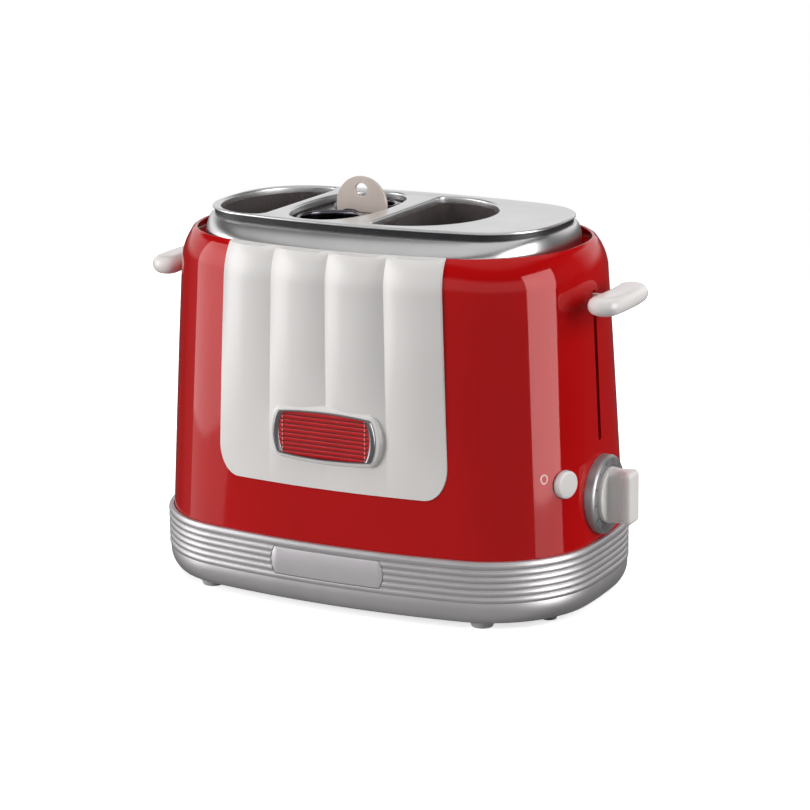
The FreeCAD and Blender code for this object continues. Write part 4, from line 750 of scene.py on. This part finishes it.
# Painted shade: the ring is black and throws almost nothing back, so it shows as a dark line under the
# plate's edge. It shares the fine-textured black nylon of the timer, the button guide and the cord gland.
dark_nylon_and_shade = finish("dark_nylon_and_painted_shade", "17171A", "202023", 15, 0.5, (0.4, 0.55), 0.015)
shade_ring.piece("cover_shade_ring", dark_nylon_and_shade, "housing", slot="black_plastic")


# Chutes, heater boards, deck, end frames and the other hidden fittings of the housing.
# Folded aluminised sheet, mica boards wound with flat wire, and small moulded and wound parts;
# the chutes hang from the lips of the slots, and the rest is screwed or clipped to the deck.

CHUTE_WALL, CHUTE_FOOT = 0.8, 26.2
# Aluminised sheet has a dull, slightly blotchy shine from hot dipping: 25 mm clouds of tone.
aluminised = finish("aluminised_sheet", "A59C9A", "B8B0AE", 25, 1.2, (0.14, 0.24), 0.0006, Metallic=0.85)
wear(aluminised, "deck", "end_frame_left", "end_frame_right", "guide_bar_left", "guide_bar_right")
for word, outline in SLOTS.items():
    chute = Surface()
    chute.stack([
        lift(outline(0.0), CHUTE_FOOT), lift(outline(0.0), LIP_FOOT),
        lift(outline(CHUTE_WALL), LIP_FOOT), lift(outline(CHUTE_WALL), CHUTE_FOOT),
    ], loop=True)
    node = "sausage_liner" if word == "middle" else "bun_liner_" + word
    chute.piece("chute_" + word, aluminised, "housing", [node], "chamber_steel")
# Mica board: layered flakes of a few millimetres, pearly brown.
mica_board = finish("mica_board", "8F7C5C", "B3A07C", 4, 0.8, (0.35, 0.6), 0.03)
wear(mica_board, "heater_outer_left", "heater_inner_left", "heater_inner_right", "heater_outer_right")
# Drawn spring wire, with fine draw lines, bright but not polished.
spring_wire = finish("drawn_spring_wire", "9A999A", "ABAAAB", 5, 0.3, (0.25, 0.4), 0.004, Metallic=1.0)
wear(spring_wire, "return_spring_left", "return_spring_right", "knob_shaft")
# Enamelled copper wire, wound; varnish makes it glossy.
copper_wire = finish("enamelled_copper", "8E4A22", "A8592A", 3, 0.4, (0.2, 0.35), 0.02, Metallic=1.0)
wear(copper_wire, "magnet_coil")
# Soft iron, oiled against rust, so it is dark with a greasy shine.
soft_iron = finish("oiled_soft_iron", "55524F", "666260", 6, 0.5, (0.35, 0.5), 0.01, Metallic=1.0)
wear(soft_iron, "magnet_core")
# Solder resist over glass weave, a satin green.
circuit = finish("green_circuit_board", "1E4A2C", "27583A", 6, 0.5, (0.3, 0.45), 0.01)
wear(circuit, "control_board")
wear(dark_nylon_and_shade, "timer", "button_guide", "cord_gland")


# Carriage: sliders, beam and racks of plated sheet steel, riveted together. The sliders ride on
# the guide bars and carry the levers' stems.

# Bright zinc has a soft metallic shine with small cloudy crystals.
zinc_plate = finish("bright_zinc_plate", "A3A2A0", "B6B5B2", 10, 0.8, (0.25, 0.4), 0.005, Metallic=1.0)
wear(zinc_plate, "carriage_beam", "armature", "bun_rack_left", "bun_rack_right", "sausage_rack")
# The sliders are blackened, so that they do not shine out of the lever slots.
black_oxide = finish("black_oxide_steel", "1B1B1D", "262628", 10, 0.8, (0.45, 0.6), 0.004)
wear(black_oxide, "slider_left", "slider_right")


# Levers: white ABS bars with round ends, one at each end of the body, bent to follow it and
# pushed onto the sliders' stems by a flat neck that runs in the body's slot.

LEVER_Z, LEVER_HALF_Y, LEVER_HALF_Z = 182.6, 28.5, 5.5
LEVER_INNER, LEVER_OUTER, LEVER_CORNER, LEVER_ROUND, LEVER_BEND = 136.5, 155.5, 9.3, 5.4, 190.0
NECK_INNER, NECK_OUTER, NECK_HALF_Y, NECK_LOW, NECK_HIGH = 121.5, 140.0, 1.5, 175.5, 184.5


def round_rectangle(x, y, half_x, half_y, radius, steps, sides=1):
    """Rectangle with round corners; sides is the number of parts each long side is in."""
    outline = []
    for quarter, (sx, sy) in enumerate(((1, 1), (-1, 1), (-1, -1), (1, -1))):
        corner_x, corner_y = x + sx * (half_x - radius), y + sy * (half_y - radius)
        for i in range(steps + 1):
            t = math.pi / 2 * (quarter + i / steps)
            outline.append((corner_x + radius * math.cos(t), corner_y + radius * math.sin(t)))
        if quarter in (1, 3):
            x0, y0 = outline[-1]
            outline += [(x0, y0 - 2 * sy * (half_y - radius) * i / sides) for i in range(1, sides)]
    return outline


def bent(outline, side):
    """Bend a lever's outline back with the end of the body."""
    return [(side * (x - LEVER_BEND + math.sqrt(LEVER_BEND ** 2 - y ** 2)), y) for x, y in outline]


lever_x, lever_half_x = (LEVER_INNER + LEVER_OUTER) / 2, (LEVER_OUTER - LEVER_INNER) / 2
quarter = [math.pi / 2 * i / 8 for i in range(9)]
for side, word in ((1, "right"), (-1, "left")):
    rings = []
    for top, angles in ((-1, quarter[::-1]), (1, quarter)):
        for t in angles:
            shrink = LEVER_ROUND * (1 - math.cos(t))
            half_x, half_y, corner = lever_half_x - shrink, LEVER_HALF_Y - shrink, LEVER_CORNER - shrink
            outline = bent(round_rectangle(lever_x, 0, half_x, half_y, corner, 10, 12), side)
            rise = LEVER_HALF_Z - LEVER_ROUND + LEVER_ROUND * math.sin(t)
            rings.append(lift(outline, LEVER_Z + top * rise))
    lever = Surface()
    lever.solid(rings)
    near, far = side * NECK_INNER, side * NECK_OUTER
    neck = [(near, -NECK_HALF_Y), (far, -NECK_HALF_Y), (far, NECK_HALF_Y), (near, NECK_HALF_Y)]
    lever.solid([lift(neck, z) for z in (NECK_LOW, NECK_HIGH)])
    lever.piece("lever_grip_" + word, white_abs, "carriage", ["lever_" + word], "white_gloss", sharp=40)


# Sausage cage: a dark steel plate with two collared holes, a tube under each, and a half-disc
# tab to lift it by, spot-welded together. Heat has blued and browned the steel.

CAGE_TOP, CAGE_FOOT, CAGE_GAP, TUBE_X, TUBE_Y = 219.8, 218.6, 1.8, -29.516, 22.297
# Section of the plate's edge: how far in, and height. Section of a collar: radius, and height.
cage_edge = ((0.0, CAGE_FOOT), (0.0, 219.3), (0.15, 219.65), (0.5, CAGE_TOP))
collar = (
    (20.4, CAGE_TOP), (19.9, 220.0), (19.6, 220.5), (19.3, 221.0), (18.9, 221.3), (18.4, 221.4),
    (17.9, 221.3), (17.5, 220.9), (17.3, 220.3), (17.3, CAGE_FOOT),
)
cage = Surface()
cage.holed(
    [lift(middle_slot(-CAGE_GAP - inward), z) for inward, z in cage_edge],
    [[lift(circle(TUBE_X, y, radius), z) for radius, z in collar] for y in (-TUBE_Y, TUBE_Y)],
)
# Heat-darkened stainless: soft 15 mm clouds of tint over a satin surface.
heated_steel = finish(
    "heat_darkened_stainless", "55525A", "6C6970", 15, 0.8, (0.14, 0.24), 0.0008, Metallic=1.0,
)
cage.piece("cage_deck", heated_steel, "cage", ["cage_plate"], "cage_steel", sharp=50)
wear(heated_steel, "cage_tube_front", "cage_tube_rear")

TAB_X, TAB_Y, TAB_RADIUS, TAB_HALF, TAB_EDGE = -22.016, 4.0, 16.8, 0.8, 0.3
TAB_HOLE_Z, TAB_HOLE = 233.0, 4.0


def tab_ring(shrink, y):
    """Half-disc outline that stands on the cage plate."""
    radius = TAB_RADIUS - shrink
    angles = [math.pi * i / 40 for i in range(41)]
    ring = [(TAB_X + radius * math.cos(t), y, PLATE_Z + radius * math.sin(t)) for t in angles]
    return ring + [(TAB_X - radius, y, CAGE_TOP), (TAB_X + radius, y, CAGE_TOP)]


def hole_ring(grow, y):
    return [(x, y, z) for x, z in circle(TAB_X, TAB_HOLE_Z, TAB_HOLE + grow, 32)]


# Both faces have a small chamfer, round the outline and round the hole.
tab_levels = (
    (TAB_EDGE, TAB_Y - TAB_HALF), (0.0, TAB_Y - TAB_HALF + TAB_EDGE),
    (0.0, TAB_Y + TAB_HALF - TAB_EDGE), (TAB_EDGE, TAB_Y + TAB_HALF),
)
tab = Surface()
tab.holed(
    [tab_ring(chamfer, y) for chamfer, y in tab_levels],
    [[hole_ring(chamfer, y) for chamfer, y in reversed(tab_levels)]],
)
# Satin stainless with grinding marks that run up its height, 0.6 mm apart.
ground_steel = finish(
    "ground_stainless", "D6C9C0", "DDD0C7", 12, 0.6, (0.36, 0.48), 0.002, stretch=(1, 1, 0.12), Metallic=0.5,
)
tab.piece("lifting_tab", ground_steel, "cage", ["cage_tab"], "tab_steel", sharp=40)


# Dial ring: silver-lacquered ABS disc with a chamfered edge and a shallow recess for the knob.
# It is pressed into the body's right end; the timer's shaft comes through its middle.

DIAL_RADIUS, DIAL_BACK, DIAL_FLOOR, SHAFT_HOLE = 23.3, 131.5, 139.2, 3.3


def turned(profile):
    """Rings about the knob's axis from (radius, x) pairs."""
    return [[(x, y, z) for y, z in circle(0, DIAL_Z, radius, 96)] for radius, x in profile]


dial = Surface()
dial.stack(turned([
    (SHAFT_HOLE, DIAL_BACK), (DIAL_RADIUS, DIAL_BACK), (DIAL_RADIUS, 138.3), (23.15, 138.75),
    (22.0, 139.85), (21.6, DIAL_FACE), (17.7, DIAL_FACE), (17.5, 139.85), (17.5, DIAL_FLOOR),
    (SHAFT_HOLE, DIAL_FLOOR),
]), loop=True)
# The plinth's lacquer over a darker ground: the dial reads as grey metal beside the white knob.
dial_lacquer = finish(
    "silver_dial_lacquer", "A19FA1", "A9A7A9", 20, 0.5, (0.36, 0.44), 0.002, Metallic=0.7,
)
dial.piece("dial_disc", dial_lacquer, "housing", ["dial_ring"], "dial_silver", sharp=30)


# Knob: white ABS, a round flange with one wide grip across it, hollowed on both sides for the
# fingers. It is pushed onto the timer's shaft.

GRIP_FOOT, GRIP_SHOULDER, GRIP_ROUND = 141.0, 153.0, 3.0
GRIP_HALF_Y, GRIP_HALF_Z, GRIP_CORNER, GRIP_HOLLOW = 7.5, 15.9, 3.5, 2.3
knob = Surface()
knob.solid(turned([(16.3, 139.5), (16.3, 141.5), (16.0, 141.95), (15.6, 142.1)]))
# How far the grip's outline shrinks, and x: straight out, then round over its end.
profile = [(0.0, 139.5)] + [(0.0, GRIP_FOOT + i) for i in range(13)]
for t in (0.2, 0.4, 0.6, 0.8, 1.0, 1.2, 1.4, 1.57):
    profile.append((GRIP_ROUND * (1 - math.cos(t)), GRIP_SHOULDER + GRIP_ROUND * math.sin(t)))
rings = []
for shrink, x in profile:
    share = min(1.0, max(0.0, (x - GRIP_FOOT) / (GRIP_SHOULDER - GRIP_FOOT)))
    half_y = GRIP_HALF_Y - shrink - GRIP_HOLLOW * math.sin(math.pi * share)
    outline = round_rectangle(0, DIAL_Z, half_y, GRIP_HALF_Z - shrink, max(0.6, GRIP_CORNER - shrink), 8)
    rings.append([(x, y, z) for y, z in outline])
knob.solid(rings)
knob.piece("knob_grip", white_abs, "knob", ["knob"], "white_gloss", sharp=40)


# Stop button: a white ABS cap with a rounded edge, in a hole beside the dial. It slides in a
# guide behind the wall, and a spring pushes it out.

# Radius and how far out along the button's axis.
cap_profile = ((8.2, -6.5), (8.2, 1.2), (8.05, 1.75), (7.6, 2.25), (7.0, 2.52), (6.3, 2.6))
button_side, button_up = Vector((BUTTON_AXIS.y, -BUTTON_AXIS.x, 0)), Vector((0, 0, 1))
rings = []
for radius, reach in cap_profile:
    middle = BUTTON_SEAT + BUTTON_AXIS * reach
    rings.append([tuple(middle + button_side * a + button_up * b) for a, b in circle(0, 0, radius)])
button = Surface()
button.solid(rings)
button.piece("stop_cap", white_abs, "stop_button", ["stop_button"], "white_gloss", sharp=50)


# Printing: a small ring beside the button and a scale of ticks round the dial, pad-printed inks
# that stand a few hundredths of a millimetre off the surface.

MARK_AT, MARK_NORMAL = Vector((122.09, -51.33, 86.75)), Vector((0.8155, -0.5787, 0.035)).normalized()
MARK_HALF_WIDTH, MARK_HALF_HEIGHT, MARK_LINE, INK = 2.4, 2.9, 0.75, 0.08
mark_side = Vector((0, 0, 1)).cross(MARK_NORMAL).normalized()
mark_up = MARK_NORMAL.cross(mark_side)


def mark_ring(shrink, rise):
    """Oval moved in by shrink, laid on the round corner of the body."""
    ring = []
    for i in range(48):
        t = math.tau * i / 48
        a, b = (MARK_HALF_WIDTH - shrink) * math.cos(t), (MARK_HALF_HEIGHT - shrink) * math.sin(t)
        sag = a * a / (2 * BODY_CORNER_R)
        ring.append(tuple(MARK_AT + mark_side * a + mark_up * b + MARK_NORMAL * (rise - sag)))
    return ring


line_section = ((0, -0.1), (0, INK), (MARK_LINE, INK), (MARK_LINE, -0.1))
mark = Surface()
mark.stack([mark_ring(shrink, rise) for shrink, rise in line_section], loop=True)
# Cream ink, matt on the gloss, warm from the red under it.
pale_ink = finish("cream_pad_print", "F0D2CA", "F4DAD2", 3, 0.3, (0.4, 0.5), 0.002)
mark.piece("ring_mark", pale_ink, "housing", slot="white_gloss")

TICKS, TICK_INNER, TICK_SWEEP = 12, 18.6, 300
LONG_TICK, SHORT_TICK = (0.4, 3.0), (0.3, 2.2)
scale = Surface()
for i in range(TICKS):
    t = math.radians(90 + TICK_SWEEP * (i / (TICKS - 1) - 0.5))
    along, across = Vector((0, math.cos(t), math.sin(t))), Vector((0, -math.sin(t), math.cos(t)))
    half, length = SHORT_TICK if i % 2 else LONG_TICK
    rings = []
    for x in (DIAL_FACE - 0.1, DIAL_FACE + 0.05):
        root = Vector((x, 0, DIAL_Z)) + along * TICK_INNER
        tip, wide = root + along * length, across * half
        rings.append([tuple(corner) for corner in (root - wide, tip - wide, tip + wide, root + wide)])
    scale.solid(rings)
# Near-black ink, matt on the satin lacquer.
dark_ink = finish("dark_pad_print", "3A3A3D", "454548", 3, 0.3, (0.4, 0.5), 0.002)
scale.piece("dial_scale", dark_ink, "housing", slot="dial_silver")


# Crumb tray: a folded aluminised sheet that slides out at the rear, behind a front piece in the
# plinth's lacquer.

wear(aluminised, "crumb_tray")
wear(silver_lacquer, "tray_front")


# Studio: a white paper floor that keeps a soft shadow, a white room that is dark overhead and
# has a shaded rear and a doorway, and soft lamps: tall boxes that only the gloss mirrors, each
# with a low one under it that stands for its reflection, and fills that only light what is matt.

def mix_by_ray(material, rays, plain, shown):
    """Mix two shaders: rays of the named kinds get the second."""
    seen = add_node(material, "LightPath", {}, {})
    kinds = seen.outputs[rays[0]]
    for ray in rays[1:]:
        both = {0: kinds, 1: seen.outputs[ray]}
        kinds = add_node(material, "Math", {"operation": "MAXIMUM"}, both).outputs[0]
    return add_node(material, "MixShader", {}, {0: kinds, 1: plain, 2: shown}).outputs[0]


FLOOR_HALF, FLOOR_GLOW = 900, 0.68
paper = bpy.data.materials.new("white_paper")
paper.use_nodes = True
paper.node_tree.nodes.clear()
matt = add_node(paper, "BsdfDiffuse", {"Color": colour("F2F2F2")}, {})
dull = add_node(paper, "BsdfDiffuse", {"Color": colour("A0A0A0")}, {})
glow = add_node(paper, "Emission", {"Color": colour("FFFFFF"), "Strength": FLOOR_GLOW}, {})
lit = add_node(paper, "AddShader", {}, {0: matt.outputs[0], 1: glow.outputs[0]})
# Away from the eye the paper counts as duller, so it throws less light up at the object.
look = mix_by_ray(paper, ["Is Camera Ray", "Is Transmission Ray"], dull.outputs[0], lit.outputs[0])
add_node(paper, "OutputMaterial", {}, {"Surface": look})
table = Surface()
table.faces.append(tuple(table.ring([
    (x * FLOOR_HALF, y * FLOOR_HALF, 0) for x, y in ((-1, -1), (1, -1), (1, 1), (-1, 1))
])))
floor = table.piece("studio_floor", paper, None)
# In gloss the white room stands where the floor would be, so the lamps can be seen low down too.
floor.visible_glossy = False

world = bpy.data.worlds.new("white_room")
bpy.context.scene.world = world
world.use_nodes = True
world.node_tree.nodes.clear()
place = add_node(world, "TexCoord", {}, {})
split = add_node(world, "SeparateXYZ", {}, {"Vector": place.outputs["Generated"]})
along_x, along_y, along_z = ({"Value": split.outputs[axis]} for axis in "XYZ")
half_up = add_node(world, "MapRange", {"From Min": -1.0, "From Max": 1.0}, along_z)
height = add_node(world, "ValToRGB", {}, {"Fac": half_up.outputs[0]})
# Tones of the room by the sine of the height angle: grey low down, white walls, a dark gap, and
# a pale panel overhead.
tones = (
    (0.0, "9C9C9C"), (0.1, "FFFFFF"), (0.34, "FFFFFF"), (0.44, "3A3A3A"), (0.68, "3A3A3A"), (0.8, "D6D6D6"),
)
stops = height.color_ramp.elements
while len(stops) < len(tones):
    stops.new(0.5)
for stop, (sine, tone) in zip(stops, tones):
    stop.position = (sine + 1) / 2
    stop.color = colour(tone)
# Low down the rear half of the room is in shade.
low_down = add_node(world, "MapRange", {"From Min": 0.06, "From Max": -0.04}, along_z)
behind = add_node(world, "MapRange", {"From Min": -0.2, "From Max": 0.3, "To Max": 0.85}, along_y)
shade = add_node(
    world, "Math", {"operation": "MULTIPLY"}, {0: low_down.outputs[0], 1: behind.outputs[0]},
)
# Behind on the right an open doorway is dark to above head height.
right = add_node(world, "MapRange", {"From Min": 0.3, "From Max": 0.6, "To Max": 0.9}, along_x)
rear = add_node(world, "MapRange", {"From Min": -0.1, "From Max": 0.15}, along_y)
below = add_node(world, "MapRange", {"From Min": 0.9, "From Max": 0.6}, along_z)
corner = add_node(world, "Math", {"operation": "MULTIPLY"}, {0: right.outputs[0], 1: rear.outputs[0]})
door = add_node(world, "Math", {"operation": "MULTIPLY"}, {0: corner.outputs[0], 1: below.outputs[0]})
darkest = add_node(world, "Math", {"operation": "MAXIMUM"}, {0: shade.outputs[0], 1: door.outputs[0]})
room = add_node(
    world, "MixRGB", {"Color2": colour("1C1C1C")},
    {"Fac": darkest.outputs[0], "Color1": height.outputs[0]},
)
dim = add_node(world, "Background", {"Color": colour("FFFFFF"), "Strength": 0.16}, {})
toned = add_node(world, "Background", {"Strength": 1.0}, {"Color": room.outputs[0]})
white = add_node(world, "Background", {"Color": colour("FFFFFF"), "Strength": 1.0}, {})
look = mix_by_ray(world, ["Is Glossy Ray", "Is Transmission Ray"], dim.outputs[0], toned.outputs[0])
look = mix_by_ray(world, ["Is Camera Ray"], look, white.outputs[0])
add_node(world, "OutputWorld", {}, {"Surface": look})


LAMP_AIM = Vector((0, 0, 0.12))


def lamp(name, turn, tilt, distance, size, power, mirrored):
    """A soft box that faces the object; it is seen in gloss, or else it lights what is matt.

    turn and tilt are in degrees, distance and size in metres, power in watts.
    """
    turn, tilt = math.radians(turn), math.radians(tilt)
    way = Vector((math.sin(turn) * math.cos(tilt), -math.cos(turn) * math.cos(tilt), math.sin(tilt)))
    light = bpy.data.lights.new(name, "AREA")
    light.shape, light.size, light.size_y, light.energy = "RECTANGLE", size[0], size[1], power
    made = bpy.data.objects.new(name, light)
    bpy.context.scene.collection.objects.link(made)
    made.location = LAMP_AIM + way * distance
    made.rotation_euler = way.to_track_quat("Z", "Y").to_euler()
    made.visible_camera = False
    made.visible_glossy, made.visible_diffuse = mirrored, not mirrored


lamp("tall_box_left", -64, 9.9, 1.6, (1.05, 1.25), 11, True)
lamp("low_box_left", -64, -14.8, 1.72, (1.05, 0.2), 0.6, True)
lamp("tall_box_right", 86.5, 9.9, 1.6, (0.95, 1.25), 20, True)
lamp("low_box_right", 86.5, -14.8, 1.72, (0.95, 0.2), 1.15, True)
lamp("fill_left", -38, 15, 2.6, (1.1, 1.4), 49, False)
lamp("fill_right", 108, 15, 1.8, (1.1, 1.4), 27, False)
lamp("fill_back", -150, 15, 2.2, (1.1, 1.4), 22, False)
lamp("fill_top", 10, 75, 1.6, (1.4, 1.4), 12, False)

LENS, SENSOR, EYE = 122.46, 36.0, Vector((0.751459, -1.406207, 0.517620))
TURN, TILT, ROLL = math.radians(27.9), math.radians(14.52), math.radians(-0.79)
camera = bpy.data.cameras.new("camera")
camera.lens, camera.sensor_width = LENS, SENSOR
viewer = bpy.data.objects.new("camera", camera)
bpy.context.scene.collection.objects.link(viewer)
back = Vector((math.sin(TURN) * math.cos(TILT), -math.cos(TURN) * math.cos(TILT), math.sin(TILT)))
right = Vector((math.cos(TURN), math.sin(TURN), 0))
up = back.cross(right)
across = right * math.cos(ROLL) + up * math.sin(ROLL)
upward = up * math.cos(ROLL) - right * math.sin(ROLL)
rolled = Matrix((across, upward, back)).transposed().to_4x4()
viewer.matrix_world = Matrix.Translation(EYE) @ rolled
bpy.context.scene.camera = viewer
bpy.context.scene.view_settings.view_transform = "Standard"
